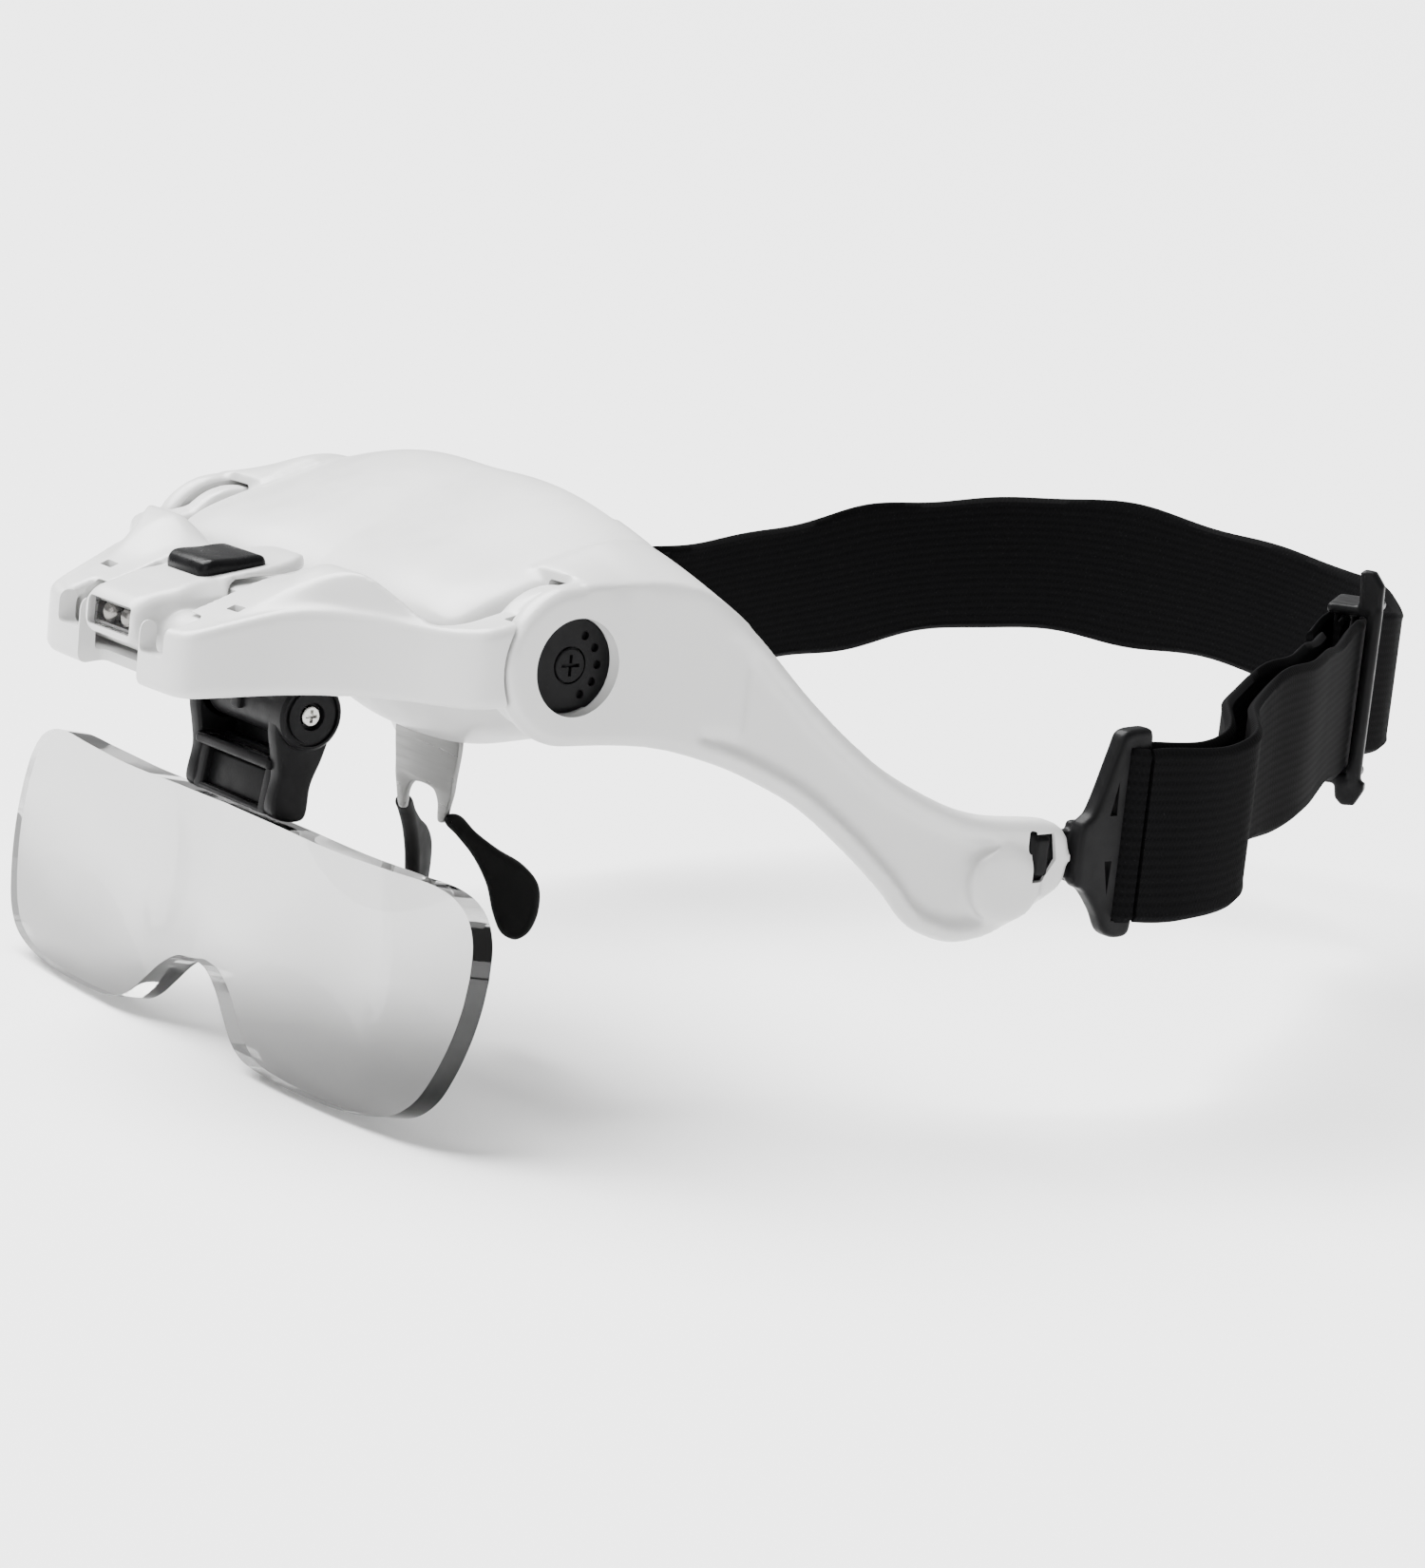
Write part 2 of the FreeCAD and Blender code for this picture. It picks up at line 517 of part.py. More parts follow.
def strap_main():
    """Outer layer from the near clip, through the slider, round to the far clip."""
    start = [(BAR_X + LAYER + 0.35, BAR_Y + 0.6, STRAP_Z)]
    end = [(-BAR_X - LAYER - 0.35, BAR_Y + 0.6, STRAP_Z)]
    near = start + shifted(NEAR_RUN, LAYER) + straight(-31.0, 6.0, LAYER)
    return ribbon(path_points(near + FAR_RUN + end, 5.0), STRAP_W, STRAP_T)


def hook(sign):
    """Turn of webbing round the bar of a clip."""
    pts = []
    for i in range(13):
        a = math.pi * i / 12.0
        x = BAR_X + (LAYER + 0.35) * math.cos(a)
        pts.append(V(x, BAR_Y + 0.1 - 2.05 * math.sin(a), STRAP_Z))
    turn = ribbon(pts, STRAP_W, STRAP_T)
    return turn if sign > 0 else mirrored(turn)


def strap_return():
    """Inner layer from the near clip back toward the slider."""
    start = [(BAR_X - LAYER - 0.35, BAR_Y + 0.6, STRAP_Z)]
    pts = start + shifted(NEAR_RUN, -LAYER) + straight(-31.0, -17.0, -LAYER)
    return ribbon(path_points(pts, 5.0), STRAP_W, STRAP_T)


def strap_far_end():
    """Short sewn tail inside the far clip."""
    pts = [(BAR_X - LAYER - 0.35, BAR_Y + 0.6, STRAP_Z), (62.6, 66.0, 18.3),
           (64.0, 74.0, 18.7), (65.6, 84.0, 19.6)]
    return mirrored(ribbon(path_points(pts, 5.0), STRAP_W, STRAP_T))


def slider_block(a0, a1, o0, o1, z0, z1):
    ring = [slider_point(a0, o0, z0), slider_point(a1, o0, z0), slider_point(a1, o1, z0),
            slider_point(a0, o1, z0)]
    return Part.Face(polygon(ring)).extrude(V(0, 0, z1 - z0))


def strap_slider():
    """Three-bar slider: the strap passes outside the middle bar."""
    top = slider_block(-5.6, 5.6, -4.4, 4.0, 11.4, 14.0)
    low = slider_block(-5.6, 5.6, -4.4, 4.0, -14.0, -11.4)
    front = slider_block(-5.6, -4.0, 2.9, 4.0, -12.0, 12.0)
    rear = slider_block(4.0, 5.6, -0.9, 0.4, -12.0, 12.0)
    middle = slider_block(-1.1, 1.1, -2.6, -1.7, -12.0, 12.0)
    lugs = slider_block(-5.6, -2.6, 0.8, 4.0, 13.5, 17.2)
    lugs = lugs.fuse(slider_block(-5.6, -2.6, 0.8, 4.0, -15.4, -13.5))
    return top.fuse([low, front, rear, middle, lugs]).removeSplitter()


def slider_fold():
    """Sewn webbing end wrapped round the middle bar."""
    pts = [slider_point(-9.0, -0.75, 0), slider_point(0.0, -0.75, 0)]
    for i in range(1, 8):
        a = math.pi * i / 8.0
        pts.append(slider_point(2.3 * math.sin(a), -2.15 + 1.4 * math.cos(a), 0))
    pts += [slider_point(0.0, -3.55, 0), slider_point(-24.0, -3.55, 0)]
    return ribbon(pts, STRAP_W, 0.9)


# ---------------------------------------------------------------------- build
def build():
    save("visor_body", visor_body())
    save("battery_door", battery_door())
    for i in range(3):
        save("battery_%d" % (i + 1), cell(i))
    for side, sign in (("left", 1), ("right", -1)):
        save("contact_" + side, contact_plate(sign))
        save("nose_pad_" + side, nose_pad(sign))
        save("pivot_disc_" + side, pivot_disc(sign))
        save("pivot_sleeve_" + side, pivot_sleeve(sign))
        save("pivot_screw_" + side, pivot_screw(sign))
        save("led_" + side, led(sign))
        save("holder_screw_" + side, holder_screw(sign))
        save("strap_clip_" + side, strap_clip(sign))
        save("strap_hook_" + side, hook(sign))
    save("nose_bracket", nose_bracket())
    save("tilt_bracket", tilt_bracket())
    save("hinge_block", hinge_block())
    save("lamp_housing", lamp_housing())
    save("lamp_reflector", lamp_reflector())
    save("lamp_window", lamp_window())
    save("switch_cap", switch_cap())
    save("lens_holder", lens_holder())
    save("holder_pin", holder_pin())
    save("lens", lens())
    save("strap_main", strap_main())
    save("strap_return", strap_return())
    save("strap_far_end", strap_far_end())
    save("strap_slider", strap_slider())
    save("slider_fold", slider_fold())


build()
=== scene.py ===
import math

import bmesh
import bpy
import numpy as np
from mathutils import Matrix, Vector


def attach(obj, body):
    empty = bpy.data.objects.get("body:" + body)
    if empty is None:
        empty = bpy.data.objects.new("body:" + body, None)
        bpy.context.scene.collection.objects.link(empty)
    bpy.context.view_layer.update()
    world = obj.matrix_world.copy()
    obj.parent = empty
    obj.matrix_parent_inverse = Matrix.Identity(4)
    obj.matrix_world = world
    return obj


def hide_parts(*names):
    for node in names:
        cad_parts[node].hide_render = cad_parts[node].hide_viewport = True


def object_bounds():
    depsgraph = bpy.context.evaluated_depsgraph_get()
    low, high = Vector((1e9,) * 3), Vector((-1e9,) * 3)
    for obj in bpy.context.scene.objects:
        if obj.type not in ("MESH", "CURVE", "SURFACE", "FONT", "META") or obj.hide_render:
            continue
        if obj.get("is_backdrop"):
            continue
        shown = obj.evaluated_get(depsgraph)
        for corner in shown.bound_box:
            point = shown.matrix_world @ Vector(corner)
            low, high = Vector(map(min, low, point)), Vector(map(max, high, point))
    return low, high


bl_info = {
    "name": "Head Visor Magnifier",
    "version": (1, 0, 0),
    "blender": (4, 5, 0),
    "location": "View3D > Sidebar > Visor",
    "description": "Builds the moulded, glass and woven pieces of a head visor magnifier",
    "category": "Add Mesh",
}

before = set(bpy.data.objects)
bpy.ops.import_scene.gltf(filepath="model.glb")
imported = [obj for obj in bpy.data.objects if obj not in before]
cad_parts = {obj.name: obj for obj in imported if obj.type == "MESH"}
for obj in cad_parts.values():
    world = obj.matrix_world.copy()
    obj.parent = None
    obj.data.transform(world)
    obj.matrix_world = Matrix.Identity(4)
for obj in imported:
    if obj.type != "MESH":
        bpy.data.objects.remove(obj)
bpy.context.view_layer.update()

# Lengths below are millimetres; meshes are written in metres.
MM = 0.001
PIVOT_Y, PIVOT_Z = -12.2, 37.0
KNUCKLE_R = 9.8
HINGE_Y, HINGE_Z = -28.7, 25.3
BARREL_Y, BARREL_Z = -44.6, 34.6
LENS_LEAN = math.radians(-9.1)
PAD_SPLAY = math.radians(-38)
REAR_Y = 5.0
CORE_HALF = 33.9
DISC_SEAT = 39.25
BAR_X, BAR_Y, STRAP_Z = 63.6, 59.6, 18.4
SLIDER_AT = np.array([14.6, 148.4, 24.0])
RUN = np.array([-0.5751, 0.8181, 0.0])
OUT = np.array([0.8181, 0.5751, 0.0])


# ------------------------------------------------------------------- sizes
class VisorSizes(bpy.types.PropertyGroup):
    """Sizes that change the look without touching the fitted parts"""
    body_grain: bpy.props.FloatProperty(
        name="Body Grain", description="Spacing of the points on the white mouldings",
        default=0.00055, min=0.0003, unit="LENGTH")
    panel_depth: bpy.props.FloatProperty(
        name="Arm Panel Depth", description="How far the panel in each arm is sunk",
        default=0.0012, min=0.0, unit="LENGTH")
    lens_crown: bpy.props.FloatProperty(
        name="Lens Crown", description="How far each eye of the lens swells at the back",
        default=0.0014, min=0.0, unit="LENGTH")
    strap_ripple: bpy.props.FloatProperty(
        name="Strap Ripple", description="Height of the slow waves along the webbing's edges",
        default=0.0005, min=0.0, unit="LENGTH")


class VisorColours(bpy.types.PropertyGroup):
    """Colours of the finishes"""
    shell: bpy.props.FloatVectorProperty(
        name="Shell", description="White moulded plastic", subtype="COLOR", size=3,
        default=(0.54, 0.54, 0.535), min=0.0, max=1.0)
    black: bpy.props.FloatVectorProperty(
        name="Black Plastic", description="Clips, discs, holder and switch", subtype="COLOR",
        size=3, default=(0.004, 0.004, 0.0043), min=0.0, max=1.0)
    webbing: bpy.props.FloatVectorProperty(
        name="Webbing", description="Elastic head strap", subtype="COLOR", size=3,
        default=(0.0028, 0.0028, 0.003), min=0.0, max=1.0)


# ---------------------------------------------------------------- curves
def spline(points, count, closed=False):
    """Smooth line through the points: a cubic between neighbours, whose slope at a point
    is the chord between the points either side of it over their distance apart."""
    p = np.asarray(points, float)
    if closed:
        p = np.vstack([p, p[:1]])
    d = np.r_[0.0, np.cumsum(np.linalg.norm(np.diff(p, axis=0), axis=1))]
    if closed:
        ext = np.vstack([p[-2], p, p[1]])
        far = np.r_[d[-2] - d[-1], d, d[-1] + d[1]]
    else:
        ext = np.vstack([2 * p[0] - p[1], p, 2 * p[-1] - p[-2]])
        far = np.r_[-d[1], d, 2 * d[-1] - d[-2]]
    painted_reflection_ramp = (ext[2:] - ext[:-2]) / (far[2:] - far[:-2])[:, None]
    t = np.linspace(0.0, d[-1], count, endpoint=not closed)
    i = np.clip(np.searchsorted(d, t, "right") - 1, 0, len(p) - 2)
    h = (d[i + 1] - d[i])[:, None]
    s = (t - d[i])[:, None] / h
    return ((2 * s**3 - 3 * s**2 + 1) * p[i] + (s**3 - 2 * s**2 + s) * h * painted_reflection_ramp[i]
            + (3 * s**2 - 2 * s**3) * p[i + 1] + (s**3 - s**2) * h * painted_reflection_ramp[i + 1])


def along(points, at):
    """Second coordinate of the smooth line through the points, read at the first one."""
    line = spline(points, 600)
    return np.interp(at, line[:, 0], line[:, 1])


def ease(t):
    """0 below 0, 1 above 1, and three t squared less two t cubed between."""
    t = np.clip(t, 0.0, 1.0)
    return t * t * (3 - 2 * t)


# ---------------------------------------------------------------- solids
def grid(x, y, z):
    """Points from arrays of their coordinates, spread over the arrays' common shape."""
    return np.stack(np.broadcast_arrays(x, y, z), -1)


def tube(rings):
    """Closed skin over rings of points: (vertices, faces), with a flat face on each end."""
    rings = np.asarray(rings, float)
    n, m = rings.shape[:2]
    i, j = np.meshgrid(np.arange(n - 1), np.arange(m), indexing="ij")
    k = (j + 1) % m
    quads = np.stack([i * m + j, i * m + k, (i + 1) * m + k, (i + 1) * m + j], -1)
    faces = quads.reshape(-1, 4).tolist()
    faces.append(list(range(m))[::-1])
    faces.append(list(range((n - 1) * m, n * m)))
    return rings.reshape(-1, 3), faces


def rounded(half_a, half_b, r, corner=6, side=0):
    """Rounded rectangles about zero, one row for each entry: four quarter circles of
    radius r, joined by straight sides cut into side + 1 steps."""
    a, b, r = np.broadcast_arrays(*[np.atleast_1d(np.asarray(v, float))[:, None]
                                    for v in (half_a, half_b, r)])
    arcs = []
    for k in range(4):
        t = math.pi / 2 * k + np.linspace(0.0, math.pi / 2, corner)[None, :]
        at_a = (a - r) if k in (0, 3) else (r - a)
        at_b = (b - r) if k in (0, 1) else (r - b)
        arcs.append(np.stack([at_a + r * np.cos(t), at_b + r * np.sin(t)], -1))
    parts = []
    step = np.linspace(0.0, 1.0, side + 2)[1:-1][None, :, None]
    for k in range(4):
        parts.append(arcs[k])
        if side:
            first, last = arcs[k][:, -1:, :], arcs[(k + 1) % 4][:, :1, :]
            parts.append(first + (last - first) * step)
    return np.concatenate(parts, axis=1)


def beam(y, x_lo, x_hi, z_lo, z_hi, r, corner=6, side=0):
    """Rings of a bar along Y: at each y a rounded rectangle from x_lo to x_hi and z_lo to
    z_hi, its corners' radius held under the half width and height."""
    y = np.asarray(y, float)
    x_lo, x_hi, z_lo, z_hi, r = [np.broadcast_to(np.asarray(v, float), y.shape)
                                 for v in (x_lo, x_hi, z_lo, z_hi, r)]
    half_x, half_z = (x_hi - x_lo) / 2, (z_hi - z_lo) / 2
    r = np.minimum(r, 0.98 * np.minimum(half_x, half_z))
    ring = rounded(half_x, half_z, r, corner, side)
    return grid(ring[..., 0] + ((x_lo + x_hi) / 2)[:, None], y[:, None],
                ring[..., 1] + ((z_lo + z_hi) / 2)[:, None])


def soft_ends(lo, hi, r, steps=4):
    """Levels from lo to hi and the inset at each: a quarter circle of radius r at each end."""
    t = np.linspace(0.0, math.pi / 2, steps)
    rise, inset = r * (1 - np.cos(t)), r * (1 - np.sin(t))
    return np.r_[lo + rise, hi - rise[::-1]], np.r_[inset, inset[::-1]]


def block(x0, x1, y0, y1, z0, z1, r=0.3):
    """Box with every edge rounded by r: a bar along Y whose ends draw in on a quarter circle."""
    y, inset = soft_ends(y0, y1, r)
    return tube(beam(y, x0 + inset, x1 - inset, z0 + inset, z1 - inset, r, corner=4))


def prism(outline, lo, hi, r=0.4, axis="x", steps=4):
    """Closed outline pushed from lo to hi along an axis, its edges rounded by r: the rings
    near each end step inwards along the outline's normals on a quarter circle."""
    line = np.asarray(outline, float)
    ahead = np.roll(line, -1, 0) - np.roll(line, 1, 0)
    area = np.sum(line[:, 0] * np.roll(line[:, 1], -1) - np.roll(line[:, 0], -1) * line[:, 1])
    inward = np.stack([-ahead[:, 1], ahead[:, 0]], -1) * (1 if area > 0 else -1)
    inward /= np.linalg.norm(inward, axis=1)[:, None] + 1e-9
    level, inset = soft_ends(lo, hi, r, steps)
    flat = line[None] + inward[None] * inset[:, None, None]
    values = [flat[..., 0], flat[..., 1]]
    values.insert("xyz".index(axis), level[:, None])
    return tube(grid(*values))


def turned(centre, axis, profile, count=64):
    """Profile of (radius, height) points turned about an axis through centre: each point
    goes round a circle of its radius at its height along the axis."""
    axis = np.asarray(axis, float) / np.linalg.norm(axis)
    side = np.cross(axis, [0.0, 0.0, 1.0] if abs(axis[2]) < 0.9 else [1.0, 0.0, 0.0])
    side /= np.linalg.norm(side)
    other = np.cross(axis, side)
    a = np.linspace(0.0, 2 * math.pi, count, endpoint=False)[None, :, None]
    p = np.asarray(profile, float)
    radius, height = p[:, 0][:, None, None], p[:, 1][:, None, None]
    rings = (np.asarray(centre, float) + axis * height
             + radius * (np.cos(a) * side + np.sin(a) * other))
    return tube(rings)


def rod(r, x0, x1, y, z, edge=0.3, count=64):
    """Round bar along X with softened rims."""
    return turned((x0, y, z), (1, 0, 0), [(r - edge, 0), (r, edge), (r, x1 - x0 - edge),
                                          (r - edge, x1 - x0)], count)


def moved(solid, change):
    """The same solid with its points changed by a function of their array."""
    points, faces = solid
    return change(points.copy()), faces


def flipped(solid):
    """The same solid on the wearer's other side."""
    points, faces = solid
    return points * (-1, 1, 1), [face[::-1] for face in faces]


def pair(solids):
    """Solids of the wearer's left side, and the same on the right."""
    return solids + [flipped(s) for s in solids]


def leaned(points):
    """Points given for an upright lens, turned about the lens hinge to its resting lean."""
    c, s = math.cos(LENS_LEAN), math.sin(LENS_LEAN)
    y, z = points[:, 1] - HINGE_Y, points[:, 2] - HINGE_Z
    points[:, 1], points[:, 2] = HINGE_Y + c * y - s * z, HINGE_Z + s * y + c * z
    return points


# ---------------------------------------------------------------- meshes
def mesh_from(name, solids):
    """One mesh from several closed solids, in metres, with its faces pointing outwards."""
    points, faces, start = [], [], 0
    for p, f in solids:
        points.append(p)
        faces.extend([[i + start for i in face] for face in f])
        start += len(p)
    mesh = bpy.data.meshes.new(name)
    mesh.from_pydata((np.vstack(points) * MM).tolist(), [], faces)
    bm = bmesh.new()
    bm.from_mesh(mesh)
    bmesh.ops.recalc_face_normals(bm, faces=bm.faces)
    bm.to_mesh(mesh)
    bm.free()
    return mesh


CRISP, BROAD = 38.0, 50.0  # degrees between faces that make a sharp edge


def shade(mesh, angle=CRISP):
    """Smooth shading with sharp edges where the faces turn by more than the angle."""
    mesh.polygons.foreach_set("use_smooth", np.ones(len(mesh.polygons), bool))
    mesh.set_sharp_from_angle(angle=math.radians(angle))
    mesh.update()
    return mesh


def put(name, data):
    """Object of that name, linked to the scene."""
    holder = bpy.data.objects.new(name, data)
    bpy.context.scene.collection.objects.link(holder)
    return holder


def place(name, mesh, body, slot, stands_for=(), look=None):
    """Links a finished mesh as a piece that rides on a body. Its slot names its material,
    unless another look is given."""
    piece = put(name, mesh)
    mesh.materials.clear()
    mesh.materials.append(finish(look or slot))
    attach(piece, body)
    if stands_for:
        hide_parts(*stands_for)
    return piece


def applied(piece):
    """Writes the result of a piece's modifiers into its mesh."""
    depsgraph = bpy.context.evaluated_depsgraph_get()
    mesh = bpy.data.meshes.new_from_object(piece.evaluated_get(depsgraph))
    piece.modifiers.clear()
    piece.data = mesh
    return mesh


def moulded(name, solids, cuts, grain, soften=2):
    """One moulding from overlapping solids: their common outer skin on an even grid,
    relaxed so that every edge gets a small radius, then cut by other solids."""
    work = put(name + "_work", mesh_from(name, solids))
    skin = work.modifiers.new("skin", "REMESH")
    skin.mode = "VOXEL"
    skin.voxel_size = grain * MM
    blend = work.modifiers.new("blend", "SMOOTH")
    blend.factor = 0.5
    blend.iterations = soften
    applied(work)
    for k, cut in enumerate(cuts):
        tool = put("%s_cut_%d" % (name, k), mesh_from(name + "_cut", [cut]))
        take = work.modifiers.new("take", "BOOLEAN")
        take.operation = "DIFFERENCE"
        take.solver = "MANIFOLD"
        take.object = tool
        applied(work)
        bpy.data.objects.remove(tool)
    mesh = work.data
    bpy.data.objects.remove(work)
    return shade(mesh, BROAD)


# --------------------------------------------------------------- finishes
NOISE_LOW, NOISE_HIGH = 0.3, 0.7  # the middle range of a noise value
ACRYLIC_IOR, THIN_IOR = 1.49, 1.06
WEFT_TURNS, RIB_TURNS, FUZZ_SHARE = 1.5, 0.85, 1.4  # knit of the webbing, to a millimetre
SPECULAR, TRANSMISSION = "Specular IOR Level", "Transmission Weight"


class Look:
    """A material in the making. Patterns read the object's own space, in metres."""

    def __init__(self, name, colour, roughness, metallic=0.0):
        self.material = bpy.data.materials.new(name)
        self.material.use_nodes = True
        self.tree = self.material.node_tree
        self.shader = self.tree.nodes["Principled BSDF"]
        self.set({"Base Color": (*colour, 1.0), "Roughness": roughness, "Metallic": metallic})
        self.here = self.node("TexCoord").outputs["Object"]

    def set(self, values):
        """Gives inputs of the shader a value, or links them to one."""
        self.fill(self.shader.inputs, values)

    def fill(self, inputs, values):
        """Gives each named input a fixed value, or links it to another node's output."""
        for name, value in values.items():
            if isinstance(value, bpy.types.NodeSocket):
                self.tree.links.new(value, inputs[name])
            else:
                inputs[name].default_value = value

    def node(self, kind, values=None):
        """New node with its inputs filled."""
        node = self.tree.nodes.new("ShaderNode" + kind)
        self.fill(node.inputs, values or {})
        return node

    def noise(self, scale, detail=2.0, where=None):
        """Cloudy value between 0 and 1 with about scale blots to a metre."""
        values = {"Scale": scale, "Detail": detail, "Vector": where or self.here}
        return self.node("TexNoise", values).outputs["Fac"]

    def split(self, vector):
        """The three numbers of a vector, by axis."""
        return self.node("SeparateXYZ", {"Vector": vector}).outputs

    def spread(self, value, to_low, to_high, from_low=NOISE_LOW, from_high=NOISE_HIGH):
        """The value, moved in proportion from one range to another and held at its ends."""
        values = {"Value": value, "From Min": from_low, "From Max": from_high,
                  "To Min": to_low, "To Max": to_high}
        return self.node("MapRange", values).outputs["Result"]

    def tint(self, value, dark, light):
        """Colour that goes from dark to light over the middle range of a value."""
        node = self.node("ValToRGB", {"Fac": value})
        stops = node.color_ramp.elements
        for stop, at, colour in zip(stops, (NOISE_LOW, NOISE_HIGH), (dark, light)):
            stop.position = at
            stop.color = (*colour, 1.0)
        return node.outputs["Color"]

    def reckon(self, operation, *terms):
        """One sum on values: each term is a number or another node's output."""
        node = self.node("Math", dict(enumerate(terms)))
        node.operation = operation
        return node.outputs[0]

    def relief(self, height, strength, distance):
        """Bumps of the surface from a height, distance metres deep at a height of 1."""
        values = {"Height": height, "Strength": strength, "Distance": distance}
        self.set({"Normal": self.node("Bump", values).outputs["Normal"]})


def scaled(colour, factor):
    """The colour made lighter or darker by a factor."""
    return tuple(min(1.0, c * factor) for c in colour)


def shell_look(colour):
    """White moulded plastic: faint cloudiness, fine moulding grain, a soft gloss."""
    look = Look("white_plastic", colour, 0.34)
    look.set({"Base Color": look.tint(look.noise(45.0), scaled(colour, 0.975),
                                      scaled(colour, 1.01)),
              "Roughness": look.spread(look.noise(260.0), 0.30, 0.38),
              "Coat Weight": 0.1, "Coat Roughness": 0.15})
    look.relief(look.noise(2600.0), 0.12, 0.00004)
    return look


def black_look(colour, name="black_plastic", roughness=0.38):
    """Black moulded plastic with a spark-eroded grain."""
    look = Look(name, colour, roughness)
    look.set({"Base Color": look.tint(look.noise(120.0), scaled(colour, 0.8),
                                      scaled(colour, 1.5)),
              "Roughness": look.spread(look.noise(500.0), roughness - 0.06, roughness + 0.08),
              SPECULAR: 0.07})
    look.relief(look.noise(3500.0, 3.0), 0.25, 0.00005)
    return look


def silicone_look():
    """Soft black rubber: nearly matt, with a bloom at grazing angles."""
    look = Look("silicone", (0.0035, 0.0035, 0.0035), 0.62)
    look.set({"Roughness": look.spread(look.noise(300.0), 0.55, 0.7), SPECULAR: 0.06,
              "Sheen Weight": 0.03, "Sheen Roughness": 0.5})
    look.relief(look.noise(1800.0, 3.0), 0.2, 0.00006)
    return look


def webbing_look(colour):
    """Knitted elastic: fine ribs along the strap crossed by the weft."""
    look = Look("webbing", colour, 0.85)
    knit = look.split(look.node("TexCoord").outputs["UV"])

    def wave(source, turns):
        """Sine of the source, with so many turns to its unit."""
        return look.reckon("SINE", look.reckon("MULTIPLY", source, turns * 2 * math.pi))

    weft, rib = wave(knit["X"], WEFT_TURNS), wave(knit["Y"], RIB_TURNS)
    crossed = look.reckon("MULTIPLY_ADD", weft, rib, rib)
    height = look.reckon("MULTIPLY_ADD", look.noise(1500.0, 4.0), FUZZ_SHARE, crossed)
    shadow = look.spread(height, 0.0, 1.0, -1.5, 2.5)
    look.set({"Base Color": look.tint(shadow, scaled(colour, 0.85), scaled(colour, 1.3)),
              SPECULAR: 0.03})
    look.relief(height, 0.16, 0.0001)
    return look


def acrylic_look():
    """Clear lens acrylic with a painted reflection: its tone is light high on the lens and
    deepens down each eye, standing in for the bright surroundings the lens reflects; the faintest
    unevenness of a moulded face."""
    look = Look("clear_acrylic", (0.6, 0.6, 0.6), 0.02)
    # Painted reflection: height on the lens, with a little noise, sets how light the tint is,
    # from dark low to light high.
    painted_reflection_height = look.reckon("MULTIPLY_ADD", look.noise(18.0), 0.03, look.split(look.here)["Z"])
    painted_reflection_ramp = look.spread(painted_reflection_height, 0.0, 1.0, -0.004, 0.024)
    look.set({"Base Color": look.tint(painted_reflection_ramp, (0.24, 0.24, 0.237), (0.50, 0.50, 0.497)),
              TRANSMISSION: 1.0, "IOR": ACRYLIC_IOR})
    look.relief(look.noise(90.0), 0.02, 0.0001)
    return look


def window_look():
    """Clear lamp plastic."""
    look = Look("lamp_window", (0.95, 0.95, 0.95), 0.05)
    look.set({TRANSMISSION: 1.0, "IOR": THIN_IOR})
    look.relief(look.noise(700.0), 0.05, 0.00005)
    return look


def metal_look(name, colour, roughness):
    """Steel with fine drawn lines along X."""
    look = Look(name, colour, roughness, 1.0)
    stretch = look.node("Mapping", {"Vector": look.here, "Scale": (40.0, 900.0, 900.0)})
    lines = look.noise(3.0, 3.0, stretch.outputs["Vector"])
    look.set({"Roughness": look.spread(lines, roughness - 0.08, roughness + 0.1)})
    look.relief(lines, 0.08, 0.00003)
    return look


FINISHES = {}


def finish(name):
    """The material of that name, made once."""
    if name not in FINISHES:
        colours = bpy.context.scene.visor_colours
        black = tuple(colours.black)
        make = {
            "white_plastic": lambda: shell_look(tuple(colours.shell)),
            "black_plastic": lambda: black_look(black),
            "switch_plastic": lambda: black_look(black, name, 0.28),
            "silicone": silicone_look,
            "webbing": lambda: webbing_look(tuple(colours.webbing)),
            "clear_acrylic": acrylic_look,
            "lamp_window": window_look,
            "led_epoxy": lambda: metal_look(name, (0.20, 0.19, 0.18), 0.16),
            "steel": lambda: metal_look(name, (0.17, 0.17, 0.166), 0.34),
            "bright_steel": lambda: metal_look(name, (0.38, 0.375, 0.36), 0.25),
            "cell_wrap": lambda: black_look((0.45, 0.45, 0.44), name, 0.3),
            "reflector": lambda: metal_look(name, (0.16, 0.16, 0.16), 0.3),
        }
        FINISHES[name] = make[name]().material
    return FINISHES[name]


# ------------------------------------------------------------ white mouldings
CORE_SIDE = [(-23.8, 35.4), (-24.4, 38.0), (-23.2, 41.0), (-19.8, 44.2), (-12.0, 48.4),
             (-4.0, 52.2), (1.2, 54.1), (3.6, 54.2), (4.9, 53.0), (5.0, 50.0), (5.0, 37.0),
             (5.0, 24.0), (3.6, 20.8), (0.0, 19.6), (-4.0, 19.8), (-8.0, 21.2),
             (-12.0, 24.0), (-16.0, 27.2), (-20.4, 30.4), (-23.0, 33.2)]
CORE_TOP = [(0, 54.2), (10, 54.3), (18, 53.6), (26, 52.0), (33.9, 49.8)]
CORE_LOW = [(0, 19.6), (6, 19.9), (10, 20.6), (15, 22.0), (21, 23.8), (28, 26.6), (33.9, 28.4)]
CORE_FRONT = [(0, -24.4), (24.0, -24.4), (30.6, -23.9), (33.0, -22.4), (33.9, -20.4)]
ARM_TOP = [(-12.2, 46.8), (-6.0, 46.9), (0.0, 47.1), (3.6, 46.4), (6.8, 44.4), (9.8, 41.9),
           (13.4, 37.9), (17.0, 33.9), (21.7, 29.4), (26.5, 25.6), (33.7, 21.9), (38.5, 20.7),
           (45.8, 20.5), (48.6, 19.7), (49.8, 18.2), (50.2, 16.2)]
